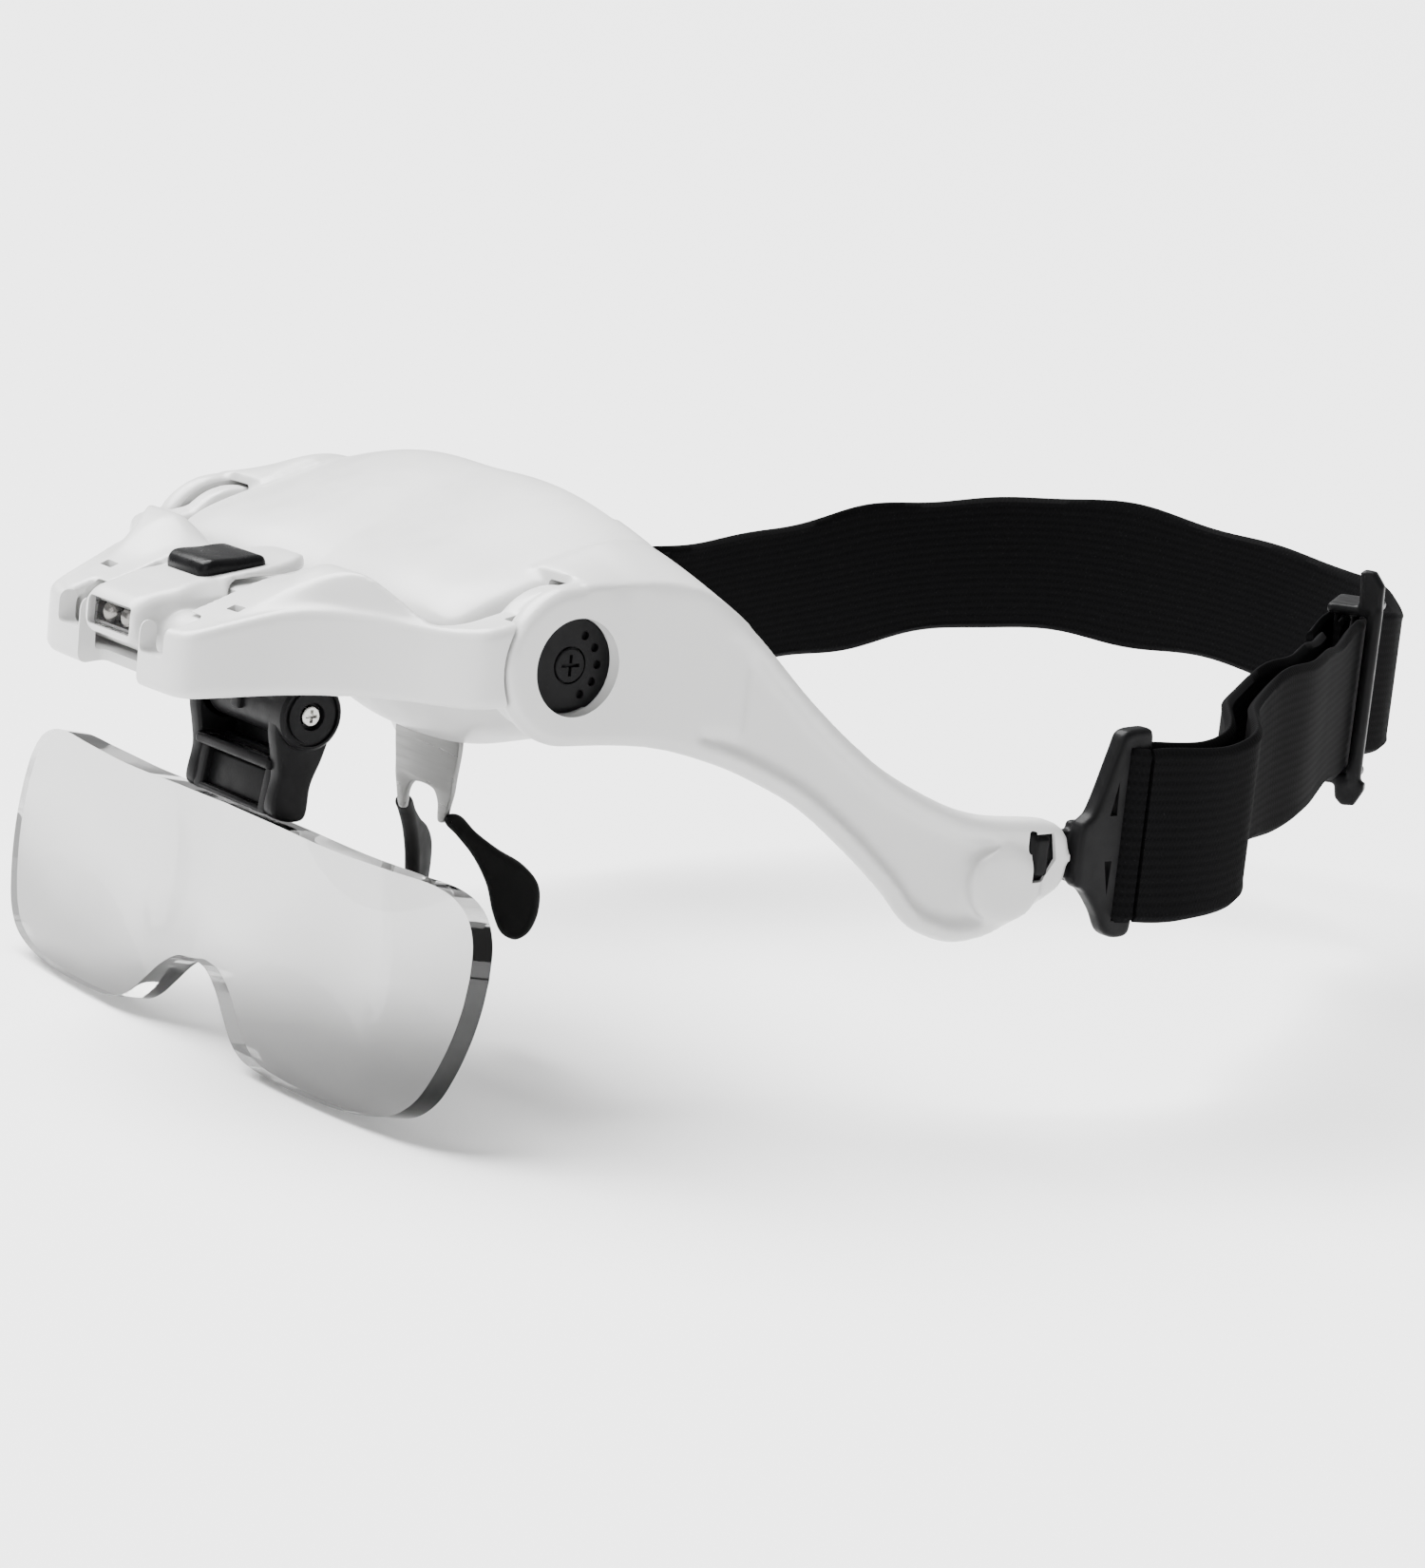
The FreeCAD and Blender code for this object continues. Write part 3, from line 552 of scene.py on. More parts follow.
ARM_LOW = [(-12.2, 27.2), (-6.0, 27.1), (0.7, 26.8), (7.2, 25.2), (11.6, 23.4), (17.2, 20.3),
           (23.1, 15.3), (28.1, 10.2), (31.3, 6.3), (34.4, 4.8), (36.8, 4.5), (40.2, 5.4),
           (42.5, 6.8), (44.6, 8.6), (47.1, 10.1), (49.0, 11.4), (49.9, 13.0), (50.2, 15.4)]
ARM_OUT = [(-26.0, 42.0), (-6.0, 42.0), (-1.0, 43.4), (5.0, 46.2), (13.0, 49.8), (22.0, 53.9),
           (31.0, 57.9), (39.0, 61.0), (45.0, 63.0), (51.0, 64.0)]
ARM_IN = [(-26.0, 38.4), (2.6, 38.4), (6.4, 42.2), (14.0, 46.4), (23.4, 50.6), (32.0, 54.6),
          (38.5, 57.2), (44.5, 59.2), (51.0, 60.2)]
BOSS_AT, BOSS_AXIS = (61.75, 41.4, 12.2), (0.94, -0.34, 0.0)


def core_solid():
    """Middle of the visor. Across X the side profile keeps its outline, its height is
    stretched between the top and low lines, its front follows the plan, and the last
    stretch draws in on a quarter circle."""
    x = CORE_HALF * np.sin(np.linspace(-math.pi / 2, math.pi / 2, 91))
    side = spline(CORE_SIDE, 150, closed=True)
    lo, hi = side[:, 1].min(), side[:, 1].max()
    top, low = along(CORE_TOP, abs(x)), along(CORE_LOW, abs(x))
    front = along(CORE_FRONT, abs(x))
    edge = np.clip((abs(x) - CORE_HALF + 2.0) / 2.0, 0.0, 1.0)
    draw = 1 - 2.0 * (1 - np.sqrt(1 - 0.98 * edge**2)) / 14.0
    y = REAR_Y - (REAR_Y - side[None, :, 0]) * ((REAR_Y - front) / (REAR_Y + 24.4))[:, None]
    z = low[:, None] + (side[None, :, 1] - lo) / (hi - lo) * (top - low)[:, None]
    mid_y, mid_z = y.mean(1, keepdims=True), z.mean(1, keepdims=True)
    draw = draw[:, None]
    return tube(grid(x[:, None], mid_y + (y - mid_y) * draw, mid_z + (z - mid_z) * draw))


def arm_solid(panel):
    """Side plate and arm: a bar whose top, low, outer and inner lines are read at each Y.
    Ahead of the pivot the top and low lines are a circle. The outer face is sunk by panel
    inside a border that keeps its distance from the edges."""
    turn = np.linspace(0.03, math.pi / 2, 26)[:-1]
    y = np.r_[PIVOT_Y - KNUCKLE_R * np.cos(turn), np.linspace(PIVOT_Y, 50.2, 150)]
    rise = KNUCKLE_R * np.sqrt(np.clip(1 - ((y - PIVOT_Y) / KNUCKLE_R) ** 2, 0, 1))
    top = np.where(y < PIVOT_Y, PIVOT_Z + rise, along(ARM_TOP, y))
    low = np.where(y < PIVOT_Y, PIVOT_Z - rise, along(ARM_LOW, y))
    rings = beam(y, along(ARM_IN, y), along(ARM_OUT, y), low, top, 1.5, corner=6, side=26)
    outer = rings[..., 0] > ((along(ARM_IN, y) + along(ARM_OUT, y)) / 2)[:, None]
    below = top[:, None] - rings[..., 2]
    above = rings[..., 2] - low[:, None]
    start = 4.0 + 0.35 * np.clip(rings[..., 2] - 34.0, 0, 20)
    sunk = (ease((below - 2.6) / 0.9) * ease((above - 2.0) / 0.9)
            * ease((y[:, None] - start) / 1.0) * ease((41.0 - y[:, None]) / 1.4))
    rings[..., 0] -= panel * sunk * outer
    return tube(rings)


def shoulder_solid():
    """Fills the corner between the middle and a side plate: a bar along Y, cut off above at
    T (1 - s) + A s + 1.2 s (1 - s), where T is its top line, A the arm's top line and s runs
    from 0 at the middle to 1 at the outer face."""
    y = np.linspace(-11.6, 9.0, 60)
    plan = [(-11.6, 41.8), (-6.0, 41.8), (-1.0, 43.2), (4.4, 45.8), (9.0, 47.6)]
    inner = [(-11.6, 30.0), (-4.0, 30.0), (4.9, 30.0), (6.5, 38.4), (9.0, 43.4)]
    top = [(-11.6, 47.4), (-7.0, 49.2), (-2.0, 50.6), (3.0, 50.2), (6.0, 48.0), (9.0, 44.0)]
    low = [(-11.6, 44.0), (-5.0, 43.0), (-3.0, 28.4), (9.0, 28.0)]
    r = np.interp(y, [-11.6, -7.0, 9.0], [1.2, 2.4, 2.4])
    outer = np.interp(y, *np.transpose(plan))
    rings = beam(y, np.interp(y, *np.transpose(inner)), outer, np.interp(y, *np.transpose(low)),
                 along(top, y), r, corner=8, side=8)
    arm_top = along(ARM_TOP, np.maximum(y, PIVOT_Y))
    reach = np.clip((rings[..., 0] - 33.0) / (outer[:, None] - 33.0), 0.0, 1.0)
    limit = (along(top, y)[:, None] * (1 - reach) + arm_top[:, None] * reach
             + 1.2 * reach * (1 - reach))
    rings[..., 2] = np.minimum(rings[..., 2], limit)
    return tube(rings)


def body_mesh(sizes):
    """White body: the middle, both side plates and arms with their screw bosses, less the
    slots for the bracket's ears, the disc seats, the strap sockets and the battery room."""
    boss = turned(BOSS_AT, BOSS_AXIS,
                  [(4.7, -1.5), (4.7, 0.5), (4.3, 0.85), (3.0, 0.95), (0.2, 0.95)])
    solids = [core_solid()] + pair([arm_solid(sizes.panel_depth / MM), shoulder_solid(), boss])
    tab_gap = rod(9.3, CORE_HALF, 38.4, PIVOT_Y, PIVOT_Z)
    disc_seat = rod(5.95, DISC_SEAT, 46.0, PIVOT_Y, PIVOT_Z)
    key_hole = turned((36.15, -13.4, 40.0), (0, 0, 1), [(1.3, 0), (1.3, 12)], 24)
    socket = block(61.0, 62.95, 43.9, 53.0, 12.6, 19.2)
    window = prism([(44.2, 12.8), (46.2, 12.9), (48.0, 15.6), (47.3, 18.9), (44.5, 18.7)],
                   61.6, 68.0, 0.05)
    cuts = pair([tab_gap, disc_seat, key_hole, socket, window])
    cuts.append(block(-25.95, 25.95, 3.0, 8.0, 23.85, 60.0))
    return moulded("visor_shell", solids, cuts, sizes.body_grain / MM)


# ---------------------------------------------------------------- bracket
BRACKET_OUT = [(-0.6, -51.2), (7.0, -51.2), (13.6, -51.0), (16.4, -50.2), (17.7, -48.4),
               (19.2, -45.0), (21.2, -40.6), (24.2, -36.4), (28.0, -32.6), (33.0, -29.2),
               (37.8, -26.8), (40.6, -24.8), (41.3, -22.0), (41.4, -14.0)]
BRACKET_IN = [(-0.6, -48.9), (7.0, -48.9), (13.0, -48.7), (14.6, -47.8), (15.6, -46.4),
              (17.2, -43.2), (19.3, -39.0), (22.2, -34.9), (25.6, -31.4), (29.6, -28.6),
              (33.2, -26.6), (34.4, -24.4), (34.4, -21.0), (34.4, -14.0)]
WALL_TOP = [(-52.0, 36.2), (-49.0, 37.4), (-44.0, 39.2), (-38.0, 41.0), (-33.0, 41.3),
            (-28.0, 40.9), (-24.0, 41.6), (-18.0, 42.9), (-12.0, 43.4)]
WALL_LOW = [(-52.0, 28.7), (-40.0, 30.1), (-32.0, 31.1), (-20.0, 32.2), (-12.0, 32.6)]


def wall_solid():
    """Outer wall of the bracket: at each step along the plan lines a rounded rectangle from
    the inner to the outer line, between the low and top lines."""
    outer, inner = spline(BRACKET_OUT, 150), spline(BRACKET_IN, 150)
    middle = (outer + inner) / 2
    across = outer - inner
    half = np.linalg.norm(across, axis=1) / 2
    across /= 2 * half[:, None]
    top, low = along(WALL_TOP, middle[:, 1]), along(WALL_LOW, middle[:, 1])
    r = np.minimum(1.3, 0.95 * half)
    ring = rounded(half, (top - low) / 2, r)
    plan = middle[:, None] + across[:, None] * ring[..., :1]
    return tube(grid(plan[..., 0], plan[..., 1], ((top + low) / 2)[:, None] + ring[..., 1]))


def hump_solid(width):
    """Raised cheek of the bracket's deck beside the lamp. Its top is the wall's top line plus
    R e(a) (0.35 + 0.65 e(b)), where R is the rise at each Y, e eases from 0 to 1, and a and b
    are the distances from the outer and the inner edge over 3.4 and 9 mm."""
    y = np.linspace(-46.0, -27.6, 60)
    t = np.linspace(0.0, 1.0, 40)[None, :]
    edge = width(y)[:, None] + 0.4
    x = 9.4 + (edge - 9.4) * t
    rise = along([(-46.0, 0.0), (-41.0, 0.6), (-37.5, 2.0), (-34.0, 3.8), (-31.8, 4.2),
                  (-29.6, 2.6), (-27.6, 0.2)], y)[:, None]
    shape = ease((edge - x) / 3.4) * (0.35 + 0.65 * ease((x - 9.4) / 9.0))
    top = along(WALL_TOP, y)[:, None] - 0.1 + rise * shape
    low = along(WALL_TOP, y)[:, None] - 2.2 + 0.7 * rise * shape
    over, under = grid(x, y[:, None], top), grid(x, y[:, None], low)
    return tube(np.concatenate([over, under[:, ::-1]], axis=1))


def bracket_mesh():
    """Tilting bracket: the outer wall, two decks with their raised cheeks, a rear bridge, a
    floor and an apron, less the notch for the lamp and the room for the pivots."""
    plan = spline(BRACKET_OUT, 400)

    def width(y):
        """Half width of the bracket inside its wall, 1.3 mm in from the outer line."""
        return np.interp(y, plan[:, 1], plan[:, 0]) - 1.3

    def shelf(y0, y1, count, inner, thick, sink, r):
        """Plate under the wall's top line, from the inner X out to the wall."""
        y = np.linspace(y0, y1, count)
        top = along(WALL_TOP, y)
        start = -width(y) if inner is None else inner
        return tube(beam(y, start, width(y), top - thick, top - sink, r))

    deck = shelf(-49.8, -36.0, 40, 12.3, 1.9, 0.05, 0.9)
    bridge = shelf(-38.8, -29.8, 30, None, 2.0, 0.3, 0.8)
    y = np.linspace(-50.3, -33.0, 30)
    floor_z = 28.9 + 0.109 * (y + 50.7)
    floor = tube(beam(y, -width(y), width(y), floor_z, floor_z + 1.3, 0.5))
    solids = pair([wall_solid(), deck, hump_solid(width),
                   rod(8.8, 34.4, 37.9, PIVOT_Y, PIVOT_Z, 0.5),
                   block(12.5, 15.0, -47.6, -41.6, 29.2, 37.4, 0.4)])
    solids += [bridge, floor, block(-9.0, 9.0, -34.0, -26.4, 30.4, 32.2, 0.4)]
    cuts = pair([rod(10.2, 37.95, 50.0, PIVOT_Y, PIVOT_Z),
                 block(37.95, 50.0, -16.0, 2.0, 20.0, 60.0),
                 block(7.2, 12.4, -53.0, -47.0, 33.2, 45.0, 0.8),
                 block(13.6, 16.2, -43.6, -42.4, 36.0, 45.0, 0.2)])
    cuts.append(block(-7.0, 7.0, -53.0, -47.4, 24.0, 45.0, 0.8))
    cuts.append(rod(3.95, -12.4, 12.4, BARREL_Y, BARREL_Z))
    return moulded("bracket_shell", solids, cuts, 0.4)


def hinge_mesh():
    """Black knuckle under the bracket that the lens holder turns on."""
    solids = [rod(3.5, -7.6, 7.6, HINGE_Y, HINGE_Z, 0.4, 72),
              block(-7.6, 7.6, HINGE_Y - 3.2, HINGE_Y + 2.4, HINGE_Z, 31.4, 0.4),
              block(-1.0, 1.0, HINGE_Y - 4.1, HINGE_Y + 1.0, HINGE_Z - 1.0, 31.0, 0.3)]
    return mesh_from("hinge_knuckle", solids)


# ------------------------------------------------------------------- lamp
LAMP_HALF = [(-51.4, 5.7), (-49.8, 6.1), (-47.6, 6.3), (-45.0, 7.2), (-40.0, 8.4), (-34.0, 8.2),
             (-29.0, 6.6), (-26.6, 4.4), (-25.4, 2.0)]
LAMP_TOP = [(-51.4, 37.9), (-50.4, 38.9), (-48.6, 39.6), (-46.0, 40.3), (-43.4, 41.0),
            (-37.0, 42.2), (-30.8, 43.2), (-27.0, 43.8), (-25.4, 43.4)]
LAMP_LOW = [(-51.4, 33.6), (-48.0, 33.2), (-44.6, 32.9), (-41.8, 33.4), (-40.4, 36.0),
            (-39.2, 40.2), (-38.0, 41.3), (-32.0, 41.8), (-27.0, 42.1), (-25.4, 42.2)]


def lamp_mesh():
    """Lamp unit: a bar along Y between its side, low and top lines, drawn in by up to a
    quarter towards its top, on the barrel that it tilts about, less the window's pocket."""
    y = np.linspace(-51.4, -25.4, 90)
    nose = beam(y, -along(LAMP_HALF, y), along(LAMP_HALF, y), along(LAMP_LOW, y),
                along(LAMP_TOP, y), 1.9, corner=8)
    height = ease((nose[..., 2] - along(LAMP_TOP, y)[:, None] + 3.2) / 3.2)
    nose[..., 0] *= 1 - 0.26 * height * ease((y[:, None] + 47.0) / 6.0)
    barrel = rod(3.5, -12.1, 12.1, BARREL_Y, BARREL_Z, 0.5)
    cuts = [block(-4.95, 4.95, -53.0, -47.4, 34.4, 37.9, 0.5)]
    return moulded("lamp_shell", [tube(nose), barrel], cuts, 0.32)


def switch_mesh():
    """Finger slide: a bar along Y whose top, low and side lines draw in at both ends."""
    y = np.linspace(-41.6, -32.4, 60)
    top = along([(-41.6, 42.2), (-41.2, 43.0), (-40.2, 43.5), (-37.0, 43.7), (-34.4, 44.0),
                 (-33.0, 43.9), (-32.4, 43.1)], y)
    low = along([(-41.6, 41.0), (-36.0, 41.8), (-32.4, 42.4)], y)
    half = along([(-41.6, 3.5), (-41.2, 4.3), (-40.4, 4.75), (-36.0, 4.85), (-33.4, 4.75),
                  (-32.7, 4.4), (-32.4, 3.7)], y)
    rings = beam(y, -half, half, low, top, 1.0, corner=8)
    return mesh_from("switch_saddle", [tube(rings)])


def liner_mesh():
    """Dark liner of the lamp's window pocket: four thin walls."""
    walls = [block(-4.9, 4.9, -50.4, -47.5, z, z + 0.15, 0.05) for z in (34.43, 37.72)]
    walls += pair([block(4.77, 4.92, -50.4, -47.5, 34.45, 37.85, 0.05)])
    return mesh_from("lamp_liner", walls)


# ------------------------------------------------------------- lens and holder
LENS_LOW = [(0, -8.1), (3.4, -8.6), (6.6, -10.5), (9.4, -13.1), (12.4, -15.7), (15.6, -17.1),
            (21.0, -17.6), (28.0, -17.7), (34.0, -17.5), (40.0, -16.8), (45.0, -15.3),
            (48.2, -12.7), (50.2, -9.1), (51.7, -4.7), (52.4, -0.7), (52.5, 3.1)]
LENS_TOP = [(0, 11.7), (12, 11.6), (24, 11.4), (36, 11.7), (43, 11.9), (47, 11.3), (50, 9.7),
            (51.8, 6.9), (52.5, 3.1)]
LENS_HALF = 52.49


def lens_mesh(crown):
    """Twin lens. Columns across X run from the low to the top line. The front face lies at
    -1.9 + 0.0014 x^2 - 0.021 |x| - 0.5 e and the back at 2.4 + 0.0004 x^2 + crown e, where
    e = exp(-((|x| - 27) / 17)^2) (1 - ((z + 2.5) / 19)^2) swells over each eye. A rim
    closes the two."""
    u = LENS_HALF * np.sin(np.linspace(-math.pi / 2, math.pi / 2, 241))
    t = np.linspace(0.0, 1.0, 33)[None, :]
    low, top = along(LENS_LOW, abs(u))[:, None], along(LENS_TOP, abs(u))[:, None]
    z = low + (top - low) * t
    x = np.broadcast_to(u[:, None], z.shape)
    eye = np.exp(-((abs(x) - 27.0) / 17.0) ** 2) * np.clip(1 - ((z + 2.5) / 19.0) ** 2, 0, 1)
    front = -1.9 + 0.0014 * x**2 - 0.021 * abs(x) - 0.5 * eye
    back = 2.4 + 0.0004 * x**2 + crown * eye
    n, m = z.shape
    faces_front = grid(x, HINGE_Y + front, z).reshape(-1, 3)
    faces_back = grid(x, HINGE_Y + back, z).reshape(-1, 3)
    i, j = np.meshgrid(np.arange(n - 1), np.arange(m - 1), indexing="ij")
    near = i * m + j
    quads = np.stack([near, near + m, near + m + 1, near + 1], -1).reshape(-1, 4)
    rim = np.r_[np.arange(n) * m, (n - 1) * m + np.arange(1, m),
                np.arange(n - 2, -1, -1) * m + m - 1, np.arange(m - 2, 0, -1)]
    ahead = np.roll(rim, -1)
    side = np.stack([rim, ahead, ahead + n * m, rim + n * m], -1)
    faces = np.vstack([quads, quads[:, ::-1] + n * m, side]).tolist()
    points = leaned(np.vstack([faces_front, faces_back]))
    return mesh_from("lens_glass", [(points, faces)])


def holder_box(x0, x1, y0, y1, z0, z1, r=0.3):
    """Box given from the hinge axis, before the lean."""
    return block(x0, x1, HINGE_Y + y0, HINGE_Y + y1, HINGE_Z + z0, HINGE_Z + z1, r)


def holder_mesh():
    """Lens holder: two cheeks with slotted dials on the hinge axis, joined above and behind
    the lens by plates."""
    cheek = spline([(-3.8, 1.4), (-3.9, -2.6), (-3.0, -5.2), (-2.1, -8.0), (-1.7, -12.9),
                    (2.7, -12.9), (2.8, -8.4), (3.6, -5.0), (3.9, -2.0), (3.0, 1.6), (0.0, 2.6)],
                   70, closed=True) + (HINGE_Y, HINGE_Z)
    dial = turned((8.0, HINGE_Y, HINGE_Z), (1, 0, 0),
                  [(4.0, 0), (4.4, 0.4), (4.4, 3.0), (4.0, 3.4), (3.75, 3.4), (3.7, 3.0),
                   (3.3, 3.0), (3.25, 3.4), (1.75, 3.4), (1.7, 2.5), (0.1, 2.5)])
    solids = pair([prism(cheek, 8.0, 10.4, 0.5), dial,
                   holder_box(6.6, 8.4, -1.9, 2.7, -13.1, -6.0)])
    solids += [holder_box(-half, half, *sizes) for half, *sizes in (
        (7.2, 0.2, 2.7, -13.1, -5.6), (7.2, -0.9, 0.6, -13.0, -8.0),
        (8.6, -2.9, -0.4, -7.6, -6.2, 0.4), (8.4, 2.3, 2.9, -6.4, -3.2),
        (7.2, -1.9, 0.3, -13.1, -12.3))]
    return mesh_from("holder_frame", [moved(s, leaned) for s in solids])


# ------------------------------------------------------------------ nose rest
def pad_solid():
    """Drop-shaped pad with domed faces, splayed to lie along one side of the nose."""
    outline = spline([(-0.2, 10.5), (1.3, 10.4), (3.3, 8.6), (6.4, 6.6), (9.6, 5.0), (11.9, 2.6),
                      (12.3, -0.6), (11.4, -3.6), (9.7, -4.9), (7.8, -4.2), (6.5, -1.8),
                      (5.3, 2.0), (3.3, 5.4), (0.9, 8.0), (-0.6, 9.4)], 110, closed=True)

    def splay(p):
        """The points turned by the splay about Z and set beside the nose plate."""
        c, s = math.cos(PAD_SPLAY), math.sin(PAD_SPLAY)
        x, y = p[:, 0].copy(), p[:, 1].copy()
        p[:, 0], p[:, 1] = 4.6 + c * x - s * y, -2.0 + s * x + c * y
        return p
    return moved(prism(outline, 0.0, 2.1, 0.9, "x", 7), splay)


def nose_plate_mesh():
    """Steel plate: a front outline with two legs that end in the pads, 0.8 mm thick."""
    half = [(6.5, 21.6), (6.5, 14.2), (5.9, 11.8), (5.0, 9.4), (3.9, 9.4), (3.5, 11.8),
            (2.2, 13.2)]
    outline = spline(half + [(-x, z) for x, z in reversed(half)], 160, closed=True)
    return mesh_from("nose_plate_steel", [prism(outline, -3.6, -2.8, 0.2, "y")])


# ------------------------------------------------------------- strap hardware
def clip_solid():
    """Flat three-sided plate of a strap clip, 2.6 mm thick."""
    outline = [(50.7, 12.4), (50.7, 19.8), (52.4, 21.4), (55.3, 29.2), (56.2, 31.4), (58.4, 31.9),
               (60.9, 31.6), (61.0, 27.0), (61.0, 10.0), (60.9, 5.6), (58.8, 5.0), (56.6, 5.8),
               (55.0, 8.4), (52.4, 11.4)]
    return prism(spline(outline, 90, closed=True), 62.3, 64.9, 0.7)


def clip_mesh():
    """Strap clip: the plate with its collar, tongue and plug, less a long slot for the
    webbing, two gaps beside the hub and the room behind the bar."""
    gaps = [[(57.3, 29.6), (57.3, 7.4), (58.9, 7.4), (58.9, 29.6)],
            [(55.0, 21.0), (56.0, 25.4), (56.2, 21.0)],
            [(55.0, 15.2), (56.2, 15.2), (56.0, 10.8)]]
    cuts = [prism(gap, 60.0, 68.0, 0.05) for gap in gaps]
    cuts.append(block(58.0, 62.75, 58.6, 62.6, 7.4, 29.6, 0.2))
    collar = block(60.9, 64.6, 50.9, 53.4, 12.2, 20.0, 0.6)
    tongue = block(61.15, 62.8, 44.1, 51.6, 12.9, 18.9, 0.3)
    plug = block(61.6, 63.3, 44.7, 47.0, 13.4, 18.3, 0.3)
    return moulded("clip_loop", [clip_solid(), collar, tongue, plug], cuts, 0.25)


def on_slider(solid):
    """A solid given outwards, along the strap and up from the slider's middle, in place."""
    return moved(solid, lambda p: SLIDER_AT + p @ np.stack([OUT, RUN, (0, 0, 1)]))


def slider_box(a0, a1, o0, o1, z0, z1, r):
    """Box from a0 to a1 along the strap, o0 to o1 outwards and z0 to z1 up."""
    return on_slider(block(o0, o1, a0, a1, z0, z1, r))


def slider_plate(outline, a0, a1, r=0.6):
    """Plate whose outline is given outwards and up, from a0 to a1 along the strap."""
    return on_slider(prism(outline, a0, a1, r, "y"))


def slider_mesh():
    """Slider frame with a raised front rail, a leaning lug on top and hooks below."""
    lug = [(1.5, 12.4), (1.0, 18.0), (1.6, 18.5), (3.2, 18.4), (4.7, 16.4), (4.8, 12.4)]
    hooks = [(1.6, -12.4), (1.2, -13.4), (1.5, -15.2), (2.6, -16.2), (4.4, -16.0), (5.6, -13.6),
             (5.5, -12.2), (4.9, -13.0), (4.4, -12.0)]
    solids = [slider_box(*sizes) for sizes in (
        (-5.6, 5.6, -3.2, 4.0, 11.6, 13.2, 0.6), (-5.6, 5.6, -3.2, 4.0, -13.2, -11.6, 0.6),
        (-6.0, -3.6, 2.75, 4.9, -13.6, 13.6, 0.9), (4.0, 5.6, -0.9, 0.4, -13.0, 13.0, 0.4),
        (-1.1, 1.1, -2.6, -1.7, -12.0, 12.0, 0.3))]
    solids += [slider_plate(lug, -5.8, -3.4), slider_plate(hooks, -5.8, -3.2)]
    return moulded("slider_frame", solids, (), 0.3, soften=3)


# ------------------------------------------------------------------ webbing
NEAR_RUN = [(64.2, 68.0, 18.2), (62.6, 76.0, 18.3), (60.6, 81.0, 19.4), (54.0, 86.8, 22.0),
            (47.4, 97.2, 23.3), (40.8, 110.8, 23.7)]
FAR_RUN = [(9.2, 163.4, 23.6), (2.0, 171.6, 23.2), (-6.6, 176.6, 23.8), (-18.0, 177.6, 25.4),
           (-32.0, 173.4, 27.6), (-45.0, 166.6, 28.8), (-56.0, 158.0, 29.4),
           (-64.0, 147.4, 28.6), (-69.0, 134.0, 26.8), (-71.0, 118.0, 24.0),
           (-70.8, 100.0, 21.6), (-69.0, 84.0, 19.6), (-66.8, 72.0, 18.6)]
LAYER = 1.75
TURN_R = LAYER + 0.35
STRAP_W, STRAP_T, FOLD_T = 21.6, 1.3, 0.9


def slider_line(a0, a1, out, count=6):
    """Points on the straight run through the slider, out to one side of it."""
    a = np.linspace(a0, a1, count)[:, None]
    return SLIDER_AT + a * RUN + out * OUT


def sideways(points):
    """Unit direction at each point of a run, level and square to the run in plan."""
    ahead = np.gradient(points, axis=0)
    side = np.stack([ahead[:, 1], -ahead[:, 0], np.zeros(len(points))], -1)
    return side / np.linalg.norm(side, axis=1)[:, None]


def beside(points, out):
    """Points moved sideways from a run by a distance."""
    p = np.asarray(points, float)
    return p + out * sideways(p)


def webbing_mesh(name, points, thick, ripple, step=0.9):
    """Webbing along a path. At each step a flat section stands on edge, square to the path
    in plan. At height h from -1 to 1 its half thickness is that of the strap times
    sqrt(1 - h^18), times 1 + 0.35 exp(-((|h| - 0.93) / 0.045)^2) for the selvedge beads.
    Its edges wave by h^3 (sin(s / 7.1) + 0.6 sin(s / 3.7 + 1.3)) at length s. The UV map
    holds millimetres along the strap and across it."""
    p = np.asarray(points, float)
    length = np.linalg.norm(np.diff(p, axis=0), axis=1).sum()
    line = spline(p, max(8, int(length / step)))
    run = np.r_[0.0, np.cumsum(np.linalg.norm(np.diff(line, axis=0), axis=1))]
    h = np.linspace(-1.0, 1.0, 29)
    bead = 1 + 0.35 * np.exp(-((abs(h) - 0.93) / 0.045) ** 2)
    half = thick / 2 * np.sqrt(np.clip(1 - abs(h) ** 18, 0.02, 1)) * bead
    across = np.r_[half, -half[::-1]]
    h = np.r_[h, h[::-1]]
    up = h * STRAP_W / 2
    wave = ripple * (np.sin(run / 7.1) + 0.6 * np.sin(run / 3.7 + 1.3))[:, None]
    rings = line[:, None] + sideways(line)[:, None] * across[None, :, None]
    rings[..., 2] += up + wave * h**3
    mesh = mesh_from(name, [tube(rings)])
    uv_point = np.stack([np.repeat(run, len(up)), np.tile(up, len(run))], -1)
    corner = np.empty(len(mesh.loops), int)
    mesh.loops.foreach_get("vertex_index", corner)
    layer = mesh.uv_layers.new(name="UVMap")
    layer.data.foreach_set("uv", uv_point[corner].ravel())
    return mesh


def hook_points():
    """Half turn of the webbing round the left clip's bar, seen in plan."""
    a = np.linspace(0.0, math.pi, 13)
    return grid(BAR_X + TURN_R * np.cos(a), BAR_Y + 0.1 - 2.05 * np.sin(a), STRAP_Z)


